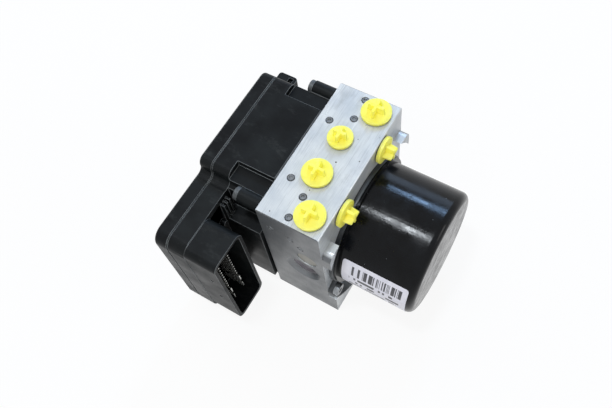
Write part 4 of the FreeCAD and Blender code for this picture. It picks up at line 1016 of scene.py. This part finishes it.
def addSticker(look):
    # A band of a fine cylinder, trimmed to the sheet's ends, cornered and given a thickness
    deselect()
    x0, x1 = [x * mm for x in look["x"]]
    a0, a1 = [angle * degree for angle in look["angles"]]
    radius, corner = look["radius"], look["corner"]
    axis = Vector((0, 0, look["axisZ"] * mm))

    def angleOf(point):
        spot = point - axis
        return math.atan2(spot.z, spot.y) % (2 * math.pi)

    bpy.ops.mesh.primitive_cylinder_add(
        vertices=look["sides"], radius=radius * mm, depth=x1 - x0, end_fill_type="NOTHING",
        location=((x0 + x1) / 2, 0, look["axisZ"] * mm), rotation=(0, math.pi / 2, 0))
    sheet = bpy.context.object
    sheet.name = "canSticker"
    bpy.ops.object.transform_apply(location=True, rotation=True, scale=True)
    pick(sheet, lambda face: not a0 < angleOf(face.center) < a1)
    bpy.ops.mesh.delete(type="FACE")
    # Rounded corners: rows of cuts near the ends, then the outer points drawn in
    for i in range(1, look["cornerCuts"] + 1):
        reach = i * corner * mm / look["cornerCuts"]
        for x in (x0 + reach, x1 - reach):
            bpy.ops.mesh.select_all(action="SELECT")
            bpy.ops.mesh.bisect(plane_co=(x, 0, 0), plane_no=(1, 0, 0))
    objectMode()
    for point in sheet.data.vertices:
        fromEnd = min(point.co.x - x0, x1 - point.co.x) / mm
        if fromEnd < corner:
            drawIn = corner - math.sqrt(max(corner ** 2 - (corner - fromEnd) ** 2, 0))
            angle = min(max(angleOf(point.co), a0 + drawIn / radius), a1 - drawIn / radius)
            point.co.y = math.cos(angle) * radius * mm
            point.co.z = look["axisZ"] * mm + math.sin(angle) * radius * mm
    only(sheet)
    editAll()
    bpy.ops.mesh.remove_doubles(threshold=look["mergeGap"] * mm)
    bpy.ops.mesh.dissolve_degenerate(threshold=look["mergeGap"] * mm)
    bpy.ops.mesh.normals_make_consistent(inside=False)
    objectMode()
    applied(sheet, "SOLIDIFY", thickness=look["thick"] * mm, offset=0)
    smooth(sheet)
    dress(sheet, "stickerPaper")
    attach(sheet, "module")


addSticker(sticker)
print("sticker placed")

# Floor and the white all round
floorLook = {
    "size": 6.0, "drop": 0.0002, "white": 0.90, "colour": shade(222, 222, 222),
    "second": shade(228, 228, 228), "clouds": {"scale": 3, "detail": 2.0},
    "rough": 0.9, "specular": 0.1,
}


def backdropRays(tree):
    rays = addNode(tree, "ShaderNodeLightPath", {})
    kinds = ("Is Camera Ray", "Is Glossy Ray", "Is Transmission Ray")
    return highest(tree, [rays.outputs[kind] for kind in kinds])


def addFloor(look):
    deselect()
    bpy.ops.mesh.primitive_plane_add(size=look["size"], location=(0, 0, -look["drop"]))
    floor = bpy.context.object
    floor.name = "floor"
    surface, tree, shader = newFinish("paleFloor")
    setInputs(tree, shader, {
        "Base Color": blend(tree, grain(tree, **look["clouds"]), look["colour"], look["second"]),
        "Roughness": look["rough"], "Specular IOR Level": look["specular"]})
    glow = addNode(tree, "ShaderNodeEmission", {"Strength": 1.0})
    mix = addNode(tree, "ShaderNodeMixShader", {
        "Fac": maths(tree, "MULTIPLY", backdropRays(tree), look["white"]),
        1: shader.outputs[0], 2: glow.outputs[0]})
    setInputs(tree, tree.nodes["Material Output"], {"Surface": mix.outputs[0]})
    floor.data.materials.append(surface)


addFloor(floorLook)


def setWorld(strength):
    world = bpy.data.worlds.new("softRoom")
    bpy.context.scene.world = world
    world.use_nodes = True
    tree = world.node_tree
    setInputs(tree, tree.nodes["Background"], {
        "Color": (1, 1, 1, 1),
        "Strength": spread(tree, backdropRays(tree), 0.0, 1.0, strength, 1.0)})


setWorld(ambient)
bpy.context.scene.view_settings.view_transform = "Standard"
print("floor, world and lamps set")
